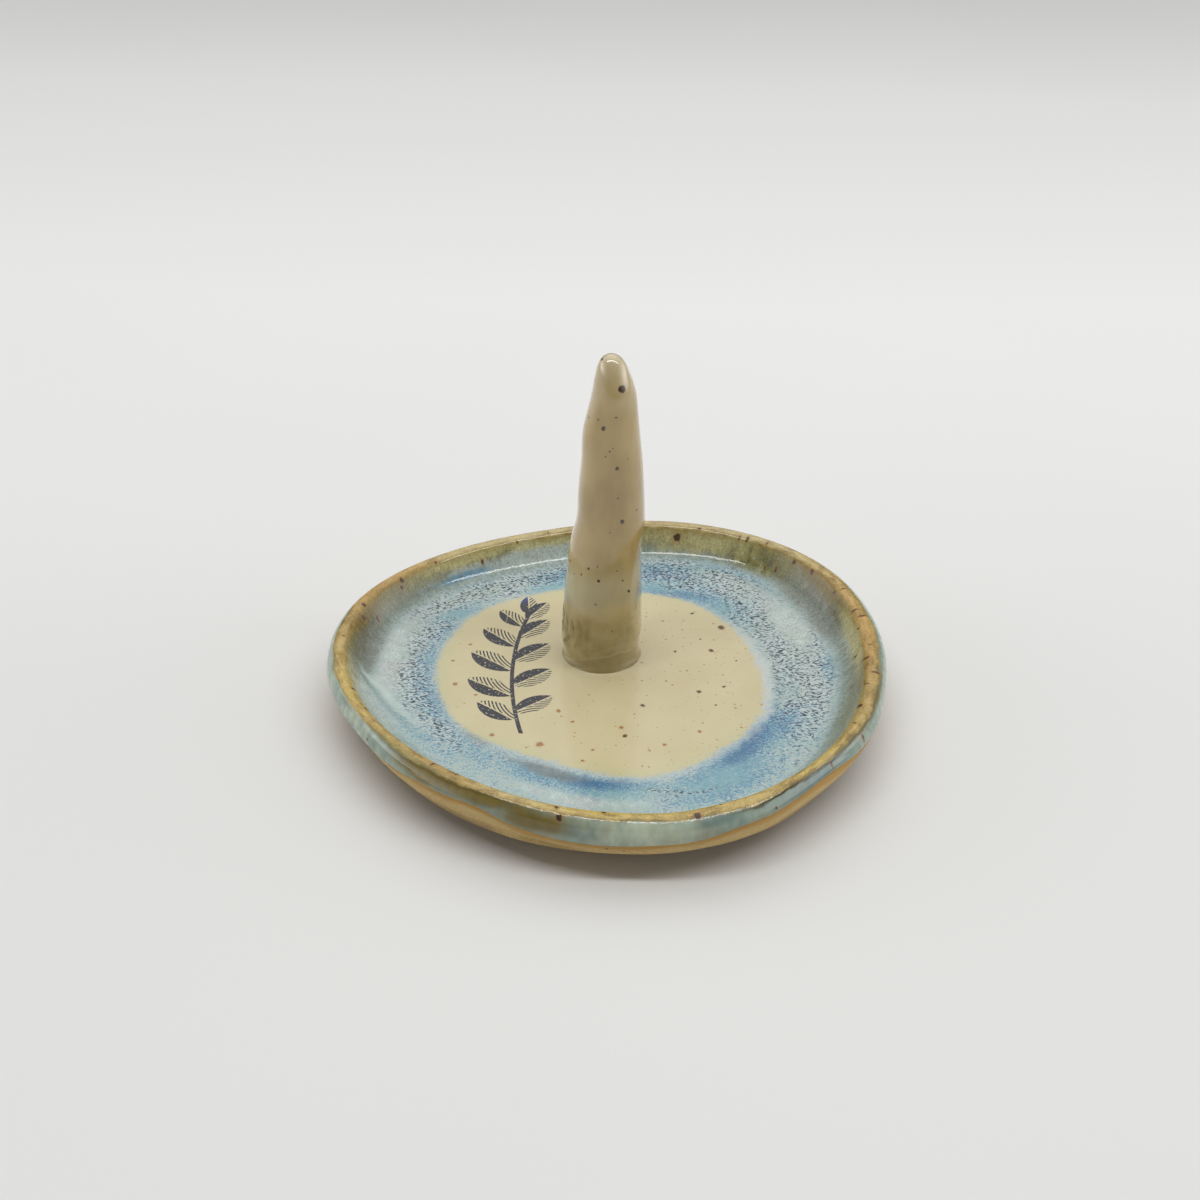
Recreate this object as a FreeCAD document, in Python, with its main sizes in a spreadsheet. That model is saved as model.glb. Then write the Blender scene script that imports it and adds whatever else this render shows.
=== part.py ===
import FreeCAD, Part
import math
import os
import Sketcher

# Ring dish: a pressed clay slab with a lifted rim, whose outline is a rounded triangle,
# a rolled clay post joined to its floor with slip, and three glaze coats.
# Millimetres and degrees. The origin is on the table under the middle of the dish,
# +Z is up and -Y is the front.

SIZES = (
    # Rim line: three corner arcs joined by three flatter side arcs.
    ("lobe_reach", "11.5"),       # axis to the centre of a corner arc
    ("corner_radius", "38"),
    ("side_radius", "70"),
    ("lobe_turn", "51"),          # direction of the first corner, from +X
    # Clay section of the dish, measured from the rim line and the table.
    ("slab_thickness", "5.8"),
    ("rim_rise", "5.8"),          # top of the clay lip above the clay floor
    ("lip_radius", "1.3"),
    ("wall_slope", "58"),         # inner wall from the horizontal
    ("sweep_radius", "5"),        # hollow between floor and inner wall
    ("foot_inset", "11.4"),       # rim line to the edge of the foot
    ("edge_overhang", "0.3"),     # rim line to the lower outer edge
    ("edge_height", "5"),
    ("face_radius", "4.5"),       # bulge of the outer face
    # Rolled post, standing on the clay floor.
    ("post_x", "-2.1"),
    ("post_y", "6.8"),
    ("post_radius", "6.9"),
    ("post_height", "59"),
    ("neck_drop", "12"),          # tip to the neck, where the slow flank turns into the shoulder
    ("neck_swell", "2.15"),       # how much further out the neck stands than the tip's radius
    ("tip_radius", "2"),
    # Ring of slip round the foot of the post.
    ("slip_reach", "1"),
    ("slip_height", "2.4"),
    ("slip_radius", "3.2"),       # hollow of its outer face
    # Glaze.
    ("coat", "0.4"),
    ("bare_band", "3.4"),         # lower outer edge to the glaze line
    ("cream_radius", "29.5"),     # clear floor, inside the coloured coat
    ("cream_x", "-2.2"),
    ("cream_y", "-0.3"),
)

# Worked out from the sizes: how far past the axis a side arc is centred so that it runs
# smoothly into its corner arcs, the angles that a corner arc and a side arc cover, and
# the flank's curve, which leaves the floor upright and passes through the neck.
# Neighbouring corners are 120 degrees apart, so a side's middle is 60 degrees from each.
DERIVED = (
    ("side_shift", "=sqrt((side_radius - corner_radius)^2 - (lobe_reach * sin(60 deg))^2)"
                   " - lobe_reach * cos(60 deg)"),
    ("corner_span", "=2 * atan2(side_shift * sin(60 deg); lobe_reach + side_shift * cos(60 deg))"),
    ("side_span", "=120 deg - corner_span"),
    ("neck_height", "=post_height - neck_drop"),
    ("taper", "=post_radius - tip_radius - neck_swell"),
    ("flank_radius", "=(neck_height^2 + taper^2) / (2 * taper)"),
)

LOBES = 3
FULL_TURN = 360
HALF_TURN = 180
UP = FreeCAD.Vector(0, 0, 1)

# A sketch's own numbers for its origin and axes, and its order of the points of an arc.
ORIGIN = (-1, 1)
H_AXIS, V_AXIS = -1, -2
ARC_POINTS = ("whole", "start", "end", "centre")
START = ARC_POINTS.index("start")
END = ARC_POINTS.index("end")
CENTRE = ARC_POINTS.index("centre")

doc = FreeCAD.newDocument("ring_dish")
sheet = doc.addObject("Spreadsheet::Sheet", "Sizes")
for row, (alias, text) in enumerate(SIZES + DERIVED, start=1):
    sheet.set(f"A{row}", alias)
    sheet.set(f"B{row}", text)
    sheet.setAlias(f"B{row}", alias)
doc.recompute()
size = {alias: sheet.get(alias) for alias, text in SIZES + DERIVED}


def point(across, height):
    return FreeCAD.Vector(across, height, 0)


def meeting(centre_a, radius_a, centre_b, radius_b):
    # The crossing of two circles that lies to the left of the line from a to b.
    line = centre_b - centre_a
    along = (radius_a**2 - radius_b**2 + line.Length**2) / (2 * line.Length)
    aside = math.sqrt(radius_a**2 - along**2)
    line.normalize()
    return centre_a + line * along + point(-line.y, line.x) * aside


def touching(centre, outer_centre):
    # Direction in which the circle inside another one touches it.
    return (centre - outer_centre).normalize()


def arc(centre, start, end):
    # Counter-clockwise arc from start to end.
    first = math.atan2(start.y - centre.y, start.x - centre.x)
    last = math.atan2(end.y - centre.y, end.x - centre.x)
    if last < first:
        last += 2 * math.pi
    return Part.ArcOfCircle(Part.Circle(centre, UP, (start - centre).Length), first, last)


def new_body(label):
    body = doc.addObject("PartDesign::Body", label)
    body.Label = label
    return body


def origin_part(body, role):
    return next(item for item in body.Origin.OriginFeatures if item.Role == role)


def new_sketch(body, name, role):
    sketch = body.newObject("Sketcher::SketchObject", name)
    sketch.AttachmentSupport = [(origin_part(body, role), "")]
    sketch.MapMode = "FlatFace"
    return sketch


def tie(sketch, kind, *places):
    sketch.addConstraint(Sketcher.Constraint(kind, *places))


def dimension(sketch, kind, *places_and_formula):
    *places, formula = places_and_formula
    value = sketch.evalExpression(formula)
    index = sketch.addConstraint(Sketcher.Constraint(kind, *places, value))
    sketch.setExpression(f"Constraints[{index}]", formula)


def place(body, **formulas):
    for axis, formula in formulas.items():
        body.setExpression(f"Placement.Base.{axis}", formula)


def revolve(body, sketch, angle_formula=None):
    turned = body.newObject("PartDesign::Revolution", sketch.Name + "_turned")
    turned.Profile = sketch
    turned.ReferenceAxis = (sketch, ["V_Axis"])
    turned.Angle = FULL_TURN
    if angle_formula:
        turned.Midplane = True
        turned.setExpression("Angle", angle_formula)
    return turned


def rim_section_points(rim_radius):
    # The clay section's corners and arc centres, with the corner or side arc's axis at 0.
    slope = math.radians(size["wall_slope"])
    floor = size["slab_thickness"]
    lip = size["lip_radius"]
    face = size["face_radius"]
    sweep = size["sweep_radius"]
    uphill = point(math.cos(slope), math.sin(slope))
    off_wall = point(-math.sin(slope), math.cos(slope))
    lip_centre = point(rim_radius, floor + size["rim_rise"] - lip)
    edge = point(rim_radius + size["edge_overhang"], size["edge_height"])
    face_centre = meeting(edge, face, lip_centre, face - lip)
    wall_top = lip_centre + off_wall * lip
    wall = (wall_top.y - floor - sweep * (1 - off_wall.y)) / uphill.y
    wall_foot = wall_top - uphill * wall
    sweep_centre = wall_foot + off_wall * sweep
    return {
        "edge": edge,
        "face_centre": face_centre,
        "face_top": lip_centre + touching(lip_centre, face_centre) * lip,
        "lip_centre": lip_centre,
        "off_wall": off_wall,
        "wall_top": wall_top,
        "wall_foot": wall_foot,
        "sweep_centre": sweep_centre,
        "floor_end": point(sweep_centre.x, floor),
        "floor_axis": point(0, floor),
    }


def draw_dish_section(sketch, rim_formula, rim_radius):
    at = rim_section_points(rim_radius)
    foot_edge = point(rim_radius - size["foot_inset"], 0)
    foot, under, face, lip, wall, sweep, floor, axis = sketch.addGeometry([
        Part.LineSegment(point(0, 0), foot_edge),
        Part.LineSegment(foot_edge, at["edge"]),
        arc(at["face_centre"], at["edge"], at["face_top"]),
        arc(at["lip_centre"], at["face_top"], at["wall_top"]),
        Part.LineSegment(at["wall_top"], at["wall_foot"]),
        arc(at["sweep_centre"], at["floor_end"], at["wall_foot"]),
        Part.LineSegment(at["floor_end"], at["floor_axis"]),
        Part.LineSegment(at["floor_axis"], point(0, 0)),
    ], False)
    tie(sketch, "Coincident", foot, START, *ORIGIN)
    tie(sketch, "Horizontal", foot)
    tie(sketch, "Coincident", foot, END, under, START)
    tie(sketch, "Coincident", under, END, face, START)
    tie(sketch, "Tangent", face, END, lip, START)
    tie(sketch, "Tangent", lip, END, wall, START)
    tie(sketch, "Tangent", wall, END, sweep, END)
    tie(sketch, "Tangent", sweep, START, floor, START)
    tie(sketch, "Horizontal", floor)
    tie(sketch, "Coincident", floor, END, axis, START)
    tie(sketch, "Vertical", axis)
    tie(sketch, "Coincident", axis, END, foot, START)
    dimension(sketch, "DistanceX", *ORIGIN, foot, END, f"{rim_formula} - Sizes.foot_inset")
    dimension(sketch, "DistanceX", *ORIGIN, under, END, f"{rim_formula} + Sizes.edge_overhang")
    dimension(sketch, "DistanceY", *ORIGIN, under, END, "Sizes.edge_height")
    dimension(sketch, "Radius", face, "Sizes.face_radius")
    dimension_rim(sketch, rim_formula, lip, wall, sweep)
    dimension(sketch, "DistanceY", *ORIGIN, floor, END, "Sizes.slab_thickness")


def dimension_rim(sketch, rim_formula, lip, wall, sweep):
    lip_height = "Sizes.slab_thickness + Sizes.rim_rise - Sizes.lip_radius"
    dimension(sketch, "DistanceX", *ORIGIN, lip, CENTRE, rim_formula)
    dimension(sketch, "DistanceY", *ORIGIN, lip, CENTRE, lip_height)
    dimension(sketch, "Radius", lip, "Sizes.lip_radius")
    dimension(sketch, "Radius", sweep, "Sizes.sweep_radius")
    dimension(sketch, "Angle", H_AXIS, START, wall, END, "Sizes.wall_slope * 1 deg")


def draw_rim_coat_section(sketch, rim_formula, rim_radius):
    # The clay's face from the floor over the lip to the glaze line, and its offset.
    at = rim_section_points(rim_radius)
    coat = size["coat"]
    face_radius = size["face_radius"]
    line_height = size["edge_height"] + size["bare_band"]
    out_of_lip = touching(at["lip_centre"], at["face_centre"]) * coat
    off_wall = at["off_wall"] * coat
    off_floor = point(0, coat)

    def on_face(radius):
        drop = line_height - at["face_centre"].y
        return point(at["face_centre"].x + math.sqrt(radius**2 - drop**2), line_height)

    line_in = on_face(face_radius)
    line_out = on_face(face_radius + coat)
    parts = sketch.addGeometry([
        Part.LineSegment(at["floor_axis"], at["floor_end"]),
        arc(at["sweep_centre"], at["floor_end"], at["wall_foot"]),
        Part.LineSegment(at["wall_top"], at["wall_foot"]),
        arc(at["lip_centre"], at["face_top"], at["wall_top"]),
        arc(at["face_centre"], line_in, at["face_top"]),
        Part.LineSegment(line_in, line_out),
        arc(at["face_centre"], line_out, at["face_top"] + out_of_lip),
        arc(at["lip_centre"], at["face_top"] + out_of_lip, at["wall_top"] + off_wall),
        Part.LineSegment(at["wall_top"] + off_wall, at["wall_foot"] + off_wall),
        arc(at["sweep_centre"], at["floor_end"] + off_floor, at["wall_foot"] + off_wall),
        Part.LineSegment(at["floor_end"] + off_floor, at["floor_axis"] + off_floor),
        Part.LineSegment(at["floor_axis"] + off_floor, at["floor_axis"]),
    ], False)
    floor, sweep, wall, lip, face, line, outer_face, outer_lip, outer_wall = parts[:9]
    outer_sweep, outer_floor, axis = parts[9:]
    edge = sketch.addGeometry(Part.Point(at["edge"]), True)
    tie(sketch, "PointOnObject", floor, START, V_AXIS)
    tie(sketch, "Horizontal", floor)
    tie(sketch, "Tangent", floor, END, sweep, START)
    tie(sketch, "Tangent", sweep, END, wall, END)
    tie(sketch, "Tangent", wall, START, lip, END)
    tie(sketch, "Tangent", lip, START, face, END)
    tie(sketch, "PointOnObject", edge, START, face)
    tie(sketch, "Coincident", face, START, line, START)
    tie(sketch, "Horizontal", line)
    tie(sketch, "Coincident", line, END, outer_face, START)
    tie(sketch, "Coincident", outer_face, CENTRE, face, CENTRE)
    tie(sketch, "Coincident", outer_lip, CENTRE, lip, CENTRE)
    tie(sketch, "Coincident", outer_sweep, CENTRE, sweep, CENTRE)
    tie(sketch, "Tangent", outer_face, END, outer_lip, START)
    tie(sketch, "Tangent", outer_lip, END, outer_wall, START)
    tie(sketch, "Parallel", outer_wall, wall)
    tie(sketch, "Tangent", outer_wall, END, outer_sweep, END)
    tie(sketch, "Tangent", outer_sweep, START, outer_floor, START)
    tie(sketch, "Horizontal", outer_floor)
    tie(sketch, "PointOnObject", outer_floor, END, V_AXIS)
    tie(sketch, "Coincident", outer_floor, END, axis, START)
    tie(sketch, "Coincident", axis, END, floor, START)
    dimension(sketch, "DistanceY", *ORIGIN, floor, START, "Sizes.slab_thickness")
    dimension_rim(sketch, rim_formula, lip, wall, sweep)
    dimension(sketch, "DistanceX", *ORIGIN, edge, START, f"{rim_formula} + Sizes.edge_overhang")
    dimension(sketch, "DistanceY", *ORIGIN, edge, START, "Sizes.edge_height")
    dimension(sketch, "Radius", face, "Sizes.face_radius")
    dimension(sketch, "DistanceY", *ORIGIN, line, START, "Sizes.edge_height + Sizes.bare_band")
    dimension(sketch, "Radius", outer_face, "Sizes.face_radius + Sizes.coat")


def turn_rim(body, draw_section):
    # One corner and the side opposite it, each a sector about its own arc's axis, three times.
    corner = new_sketch(body, body.Label + "_corner", "XZ_Plane")
    corner.setExpression("AttachmentOffset.Base.x", "Sizes.lobe_reach")
    draw_section(corner, "Sizes.corner_radius", size["corner_radius"])
    corner_turned = revolve(body, corner, "Sizes.corner_span")
    side = new_sketch(body, body.Label + "_side", "XZ_Plane")
    side.AttachmentOffset = FreeCAD.Placement(
        FreeCAD.Vector(), FreeCAD.Rotation(FreeCAD.Vector(0, 1, 0), HALF_TURN))
    side.setExpression("AttachmentOffset.Base.x", "Sizes.side_shift")
    draw_section(side, "Sizes.side_radius", size["side_radius"])
    side_turned = revolve(body, side, "Sizes.side_span")
    doc.recompute()
    lobes = body.newObject("PartDesign::PolarPattern", body.Label + "_lobes")
    lobes.Originals = [corner_turned, side_turned]
    lobes.Axis = (origin_part(body, "Z_Axis"), [""])
    lobes.Angle = FULL_TURN
    lobes.Occurrences = LOBES
    body.Tip = lobes
    body.Placement.Rotation = FreeCAD.Rotation(UP, size["lobe_turn"])
    body.setExpression("Placement.Rotation.Angle", "Sizes.lobe_turn * 1 deg")


def punch(body, name, radius_formula, x_formula, y_formula):
    # A round hole right through the piece.
    sketch = new_sketch(body, name, "XY_Plane")
    sketch.setExpression("AttachmentOffset.Base.x", x_formula)
    sketch.setExpression("AttachmentOffset.Base.y", y_formula)
    draw_circle(sketch, radius_formula)
    hole = body.newObject("PartDesign::Pocket", name + "_cut")
    hole.Profile = sketch
    hole.Type = "ThroughAll"
    hole.Midplane = True
    body.Tip = hole


def draw_circle(sketch, radius_formula):
    radius = sketch.evalExpression(radius_formula)
    circle = sketch.addGeometry(Part.Circle(point(0, 0), UP, radius), False)
    tie(sketch, "Coincident", circle, CENTRE, *ORIGIN)
    dimension(sketch, "Radius", circle, radius_formula)


def post_points():
    # Arc centres and joints of the post's outline, from its own foot.
    top = size["post_height"]
    flank = size["flank_radius"]
    tip = size["tip_radius"]
    flank_centre = point(size["post_radius"] - flank, 0)
    tip_centre = point(0, top - tip)
    neck = point(size["post_radius"] - size["taper"], size["neck_height"])
    flank_way = touching(neck, flank_centre)
    to_neck = neck - tip_centre
    shoulder = (to_neck.Length**2 - tip**2) / (2 * (to_neck.dot(flank_way) - tip))
    shoulder_centre = neck - flank_way * shoulder
    tip_way = touching(tip_centre, shoulder_centre)
    slip_rise = size["slip_height"]
    slip_top = flank_centre + point(math.sqrt(flank**2 - slip_rise**2), slip_rise)
    slip_foot = point(size["post_radius"] + size["slip_reach"], 0)
    return {
        "foot": point(size["post_radius"], 0),
        "top": point(0, top),
        "flank_centre": flank_centre,
        "shoulder_centre": shoulder_centre,
        "tip_centre": tip_centre,
        "neck": neck,
        "flank_way": flank_way,
        "shoulder_top": tip_centre + tip_way * tip,
        "tip_way": tip_way,
        "slip_top": slip_top,
        "slip_foot": slip_foot,
        "slip_centre": meeting(slip_top, size["slip_radius"], slip_foot, size["slip_radius"]),
    }


def make_dish_body():
    turn_rim(new_body("dish_body"), draw_dish_section)


def make_rim_glaze():
    body = new_body("rim_glaze")
    turn_rim(body, draw_rim_coat_section)
    turn = "(Sizes.lobe_turn * 1 deg)"
    punch(body, "cream_hole", "Sizes.cream_radius",
          f"Sizes.cream_x * cos{turn} + Sizes.cream_y * sin{turn}",
          f"Sizes.cream_y * cos{turn} - Sizes.cream_x * sin{turn}")


def make_floor_glaze():
    body = new_body("floor_glaze")
    sketch = new_sketch(body, "cream_outline", "XY_Plane")
    draw_circle(sketch, "Sizes.cream_radius")
    disc = body.newObject("PartDesign::Pad", "cream_disc")
    disc.Profile = sketch
    disc.setExpression("Length", "Sizes.coat")
    doc.recompute()
    punch(body, "slip_hole", "Sizes.post_radius + Sizes.slip_reach",
          "Sizes.post_x - Sizes.cream_x", "Sizes.post_y - Sizes.cream_y")
    place(body, x="Sizes.cream_x", y="Sizes.cream_y", z="Sizes.slab_thickness")


def stand_on_floor(body):
    place(body, x="Sizes.post_x", y="Sizes.post_y", z="Sizes.slab_thickness")


def make_ring_post():
    at = post_points()
    body = new_body("ring_post")
    sketch = new_sketch(body, "post_outline", "XZ_Plane")
    foot, flank, shoulder, tip, axis = sketch.addGeometry([
        Part.LineSegment(point(0, 0), at["foot"]),
        arc(at["flank_centre"], at["foot"], at["neck"]),
        arc(at["shoulder_centre"], at["neck"], at["shoulder_top"]),
        arc(at["tip_centre"], at["shoulder_top"], at["top"]),
        Part.LineSegment(at["top"], point(0, 0)),
    ], False)
    tie(sketch, "Coincident", foot, START, *ORIGIN)
    tie(sketch, "Horizontal", foot)
    tie(sketch, "Coincident", foot, END, flank, START)
    tie(sketch, "PointOnObject", flank, CENTRE, H_AXIS)
    tie(sketch, "Tangent", flank, END, shoulder, START)
    tie(sketch, "Tangent", shoulder, END, tip, START)
    tie(sketch, "PointOnObject", tip, CENTRE, V_AXIS)
    tie(sketch, "Coincident", tip, END, axis, START)
    tie(sketch, "Vertical", axis)
    tie(sketch, "Coincident", axis, END, *ORIGIN)
    dimension(sketch, "DistanceX", *ORIGIN, foot, END, "Sizes.post_radius")
    dimension(sketch, "Radius", flank, "Sizes.flank_radius")
    dimension(sketch, "DistanceY", *ORIGIN, flank, END, "Sizes.neck_height")
    dimension(sketch, "Radius", tip, "Sizes.tip_radius")
    dimension(sketch, "DistanceY", *ORIGIN, axis, START, "Sizes.post_height")
    revolve(body, sketch)
    stand_on_floor(body)


def make_slip_joint():
    at = post_points()
    body = new_body("slip_joint")
    sketch = new_sketch(body, "slip_outline", "XZ_Plane")
    floor, hollow, flank = sketch.addGeometry([
        Part.LineSegment(at["foot"], at["slip_foot"]),
        arc(at["slip_centre"], at["slip_top"], at["slip_foot"]),
        arc(at["flank_centre"], at["foot"], at["slip_top"]),
    ], False)
    tie(sketch, "PointOnObject", floor, START, H_AXIS)
    tie(sketch, "Horizontal", floor)
    tie(sketch, "Coincident", floor, END, hollow, END)
    tie(sketch, "Coincident", hollow, START, flank, END)
    tie(sketch, "Coincident", flank, START, floor, START)
    tie(sketch, "PointOnObject", flank, CENTRE, H_AXIS)
    dimension(sketch, "DistanceX", *ORIGIN, floor, START, "Sizes.post_radius")
    dimension(sketch, "DistanceX", floor, START, floor, END, "Sizes.slip_reach")
    dimension(sketch, "DistanceY", *ORIGIN, flank, END, "Sizes.slip_height")
    dimension(sketch, "Radius", hollow, "Sizes.slip_radius")
    dimension(sketch, "Radius", flank, "Sizes.flank_radius")
    revolve(body, sketch)
    stand_on_floor(body)


def make_post_glaze():
    # The skin over the slip's hollow, the flank, the shoulder and the tip.
    at = post_points()
    coat = size["coat"]
    body = new_body("post_glaze")
    sketch = new_sketch(body, "post_skin", "XZ_Plane")
    outer_neck = at["neck"] + at["flank_way"] * coat
    outer_shoulder_top = at["shoulder_top"] + at["tip_way"] * coat
    outer_top = at["top"] + point(0, coat)
    outer_hollow = size["slip_radius"] - coat
    outer_slip_top = meeting(at["slip_centre"], outer_hollow,
                             at["flank_centre"], size["flank_radius"] + coat)
    across = at["slip_centre"].x - at["slip_foot"].x
    slip_edge = point(at["slip_foot"].x, at["slip_centre"].y - math.sqrt(outer_hollow**2 - across**2))
    parts = sketch.addGeometry([
        arc(at["slip_centre"], at["slip_top"], at["slip_foot"]),
        arc(at["flank_centre"], at["slip_top"], at["neck"]),
        arc(at["shoulder_centre"], at["neck"], at["shoulder_top"]),
        arc(at["tip_centre"], at["shoulder_top"], at["top"]),
        Part.LineSegment(at["top"], outer_top),
        arc(at["tip_centre"], outer_shoulder_top, outer_top),
        arc(at["shoulder_centre"], outer_neck, outer_shoulder_top),
        arc(at["flank_centre"], outer_slip_top, outer_neck),
        arc(at["slip_centre"], outer_slip_top, slip_edge),
        Part.LineSegment(slip_edge, at["slip_foot"]),
    ], False)
    hollow, flank, shoulder, tip, axis = parts[:5]
    outer_tip, outer_shoulder, outer_flank, outer_slip, edge = parts[5:]
    tie(sketch, "PointOnObject", flank, CENTRE, H_AXIS)
    tie(sketch, "Tangent", flank, END, shoulder, START)
    tie(sketch, "Tangent", shoulder, END, tip, START)
    tie(sketch, "PointOnObject", tip, CENTRE, V_AXIS)
    tie(sketch, "PointOnObject", tip, END, V_AXIS)
    tie(sketch, "Coincident", hollow, START, flank, START)
    tie(sketch, "PointOnObject", hollow, END, H_AXIS)
    tie(sketch, "Coincident", axis, START, tip, END)
    tie(sketch, "Vertical", axis)
    tie(sketch, "Coincident", outer_tip, END, axis, END)
    tie(sketch, "Coincident", outer_tip, CENTRE, tip, CENTRE)
    tie(sketch, "Tangent", outer_shoulder, END, outer_tip, START)
    tie(sketch, "Coincident", outer_shoulder, CENTRE, shoulder, CENTRE)
    tie(sketch, "Tangent", outer_flank, END, outer_shoulder, START)
    tie(sketch, "Coincident", outer_flank, CENTRE, flank, CENTRE)
    tie(sketch, "Coincident", outer_slip, CENTRE, hollow, CENTRE)
    tie(sketch, "Coincident", outer_slip, START, outer_flank, START)
    tie(sketch, "Coincident", edge, START, outer_slip, END)
    tie(sketch, "Coincident", edge, END, hollow, END)
    tie(sketch, "Vertical", edge)
    dimension(sketch, "Radius", flank, "Sizes.flank_radius")
    dimension(sketch, "DistanceX", flank, CENTRE, *ORIGIN, "Sizes.flank_radius - Sizes.post_radius")
    dimension(sketch, "DistanceY", *ORIGIN, flank, START, "Sizes.slip_height")
    dimension(sketch, "DistanceY", *ORIGIN, flank, END, "Sizes.neck_height")
    dimension(sketch, "Radius", tip, "Sizes.tip_radius")
    dimension(sketch, "DistanceY", *ORIGIN, tip, END, "Sizes.post_height")
    dimension(sketch, "Radius", hollow, "Sizes.slip_radius")
    dimension(sketch, "DistanceX", *ORIGIN, hollow, END, "Sizes.post_radius + Sizes.slip_reach")
    dimension(sketch, "DistanceY", axis, START, axis, END, "Sizes.coat")
    dimension(sketch, "Radius", outer_slip, "Sizes.slip_radius - Sizes.coat")
    revolve(body, sketch)
    stand_on_floor(body)


def write_parts():
    doc.recompute()
    for item in doc.Objects:
        if "Invalid" in item.State or "Error" in item.State:
            raise RuntimeError(f"{item.Label} could not be built: {item.State}")
    bodies = [item for item in doc.Objects if item.TypeId == "PartDesign::Body"]
    for body in bodies:
        if body.Shape.isNull() or not body.Shape.isValid() or len(body.Shape.Solids) != 1:
            raise RuntimeError(f"{body.Label} is not one sound solid")
    os.makedirs("parts", exist_ok=True)
    for body in bodies:
        body.Shape.exportStep(f"parts/{body.Label}.step")
        print(f"{body.Label}: {body.Shape.Volume:.2f} cubic mm")


make_dish_body()
make_ring_post()
make_slip_joint()
make_floor_glaze()
make_rim_glaze()
make_post_glaze()
write_parts()
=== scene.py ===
import bmesh
import bpy
import math
import numpy as np
from mathutils import Matrix, Vector


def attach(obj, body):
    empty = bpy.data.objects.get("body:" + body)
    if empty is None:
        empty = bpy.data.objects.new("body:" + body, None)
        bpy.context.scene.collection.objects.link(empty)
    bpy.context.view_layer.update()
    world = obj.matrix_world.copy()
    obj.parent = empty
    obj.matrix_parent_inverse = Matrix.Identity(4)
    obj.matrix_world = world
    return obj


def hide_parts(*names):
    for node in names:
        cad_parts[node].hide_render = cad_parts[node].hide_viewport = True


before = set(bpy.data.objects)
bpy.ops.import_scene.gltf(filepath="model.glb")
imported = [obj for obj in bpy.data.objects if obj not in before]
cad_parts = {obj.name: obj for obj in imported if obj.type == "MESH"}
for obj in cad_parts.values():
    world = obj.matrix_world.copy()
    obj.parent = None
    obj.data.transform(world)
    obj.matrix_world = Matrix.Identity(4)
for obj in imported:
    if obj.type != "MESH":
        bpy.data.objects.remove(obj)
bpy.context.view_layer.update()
millimetre = 0.001
print("frame loaded:", len(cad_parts), "pieces")


def addObject(name, data):
    thing = bpy.data.objects.new(name, data)
    bpy.context.scene.collection.objects.link(thing)
    return thing


# camera, standing where the photo was taken from
photoCamera = {
    "place": (-2.85, -240.3, 168.7),  # mm from the middle of the foot
    "lookDown": 31.48,  # degrees
    "roll": 1.05,
    "lens": 48,
    "sensor": 36,
    "nearest": 0.01,
}


def addCamera():
    down = math.radians(photoCamera["lookDown"])
    roll = math.radians(photoCamera["roll"])
    forward = Vector((0, math.cos(down), -math.sin(down)))
    level = Vector((0, math.sin(down), math.cos(down)))
    right = Vector((math.cos(roll), 0, 0)) + math.sin(roll) * level
    up = Vector((-math.sin(roll), 0, 0)) + math.cos(roll) * level
    data = bpy.data.cameras.new("photoCamera")
    data.lens = photoCamera["lens"]
    data.sensor_width = photoCamera["sensor"]
    data.clip_start = photoCamera["nearest"]
    camera = addObject("photoCamera", data)
    turn = Matrix((right, up, -forward)).transposed()
    camera.matrix_world = Matrix.Translation(Vector(photoCamera["place"]) * millimetre) @ turn.to_4x4()
    bpy.context.scene.camera = camera


addCamera()
print("camera placed")


# curves and surfaces
def waves(theta, terms):
    # terms are (times round, height, phase in degrees)
    return sum(height * np.cos(count * theta - math.radians(phase)) for count, height, phase in terms)


def smoothThrough(x, at, values):
    slopes = np.gradient(values, at)
    index = np.clip(np.searchsorted(at, x) - 1, 0, len(at) - 2)
    gap = at[index + 1] - at[index]
    t = (x - at[index]) / gap
    rise = values[index + 1] - values[index]
    start = slopes[index] * gap
    end = slopes[index + 1] * gap
    return values[index] + t * (start + t * (3 * rise - 2 * start - end + t * (start + end - 2 * rise)))


def byDirection(theta, marks):
    # a smooth closed curve through (direction in degrees, value) marks
    at, values = np.array(marks, float).T
    at = np.concatenate([at[-2:] - 360, at, at[:2] + 360])
    values = np.concatenate([values[-2:], values, values[:2]])
    return smoothThrough(np.degrees(theta) % 360, at, values)


def easeIn(value, low, high):
    t = np.clip((value - low) / (high - low), 0, 1)
    return t * t * (3 - 2 * t)


def apart(theta, direction, spread, place=0, middle=0, reach=1):
    # squared distance from a patch's middle, 1 at its half spread or its reach
    turn = (np.degrees(theta) - direction + 180) % 360 - 180
    return (turn / spread) ** 2 + ((place - middle) / reach) ** 2


def dented(theta, dents):
    return -sum(depth * np.exp(-apart(theta, direction, spread)) for direction, spread, depth in dents)


sharpAngle = 48  # degrees, beyond which an edge isn't smoothed


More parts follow.
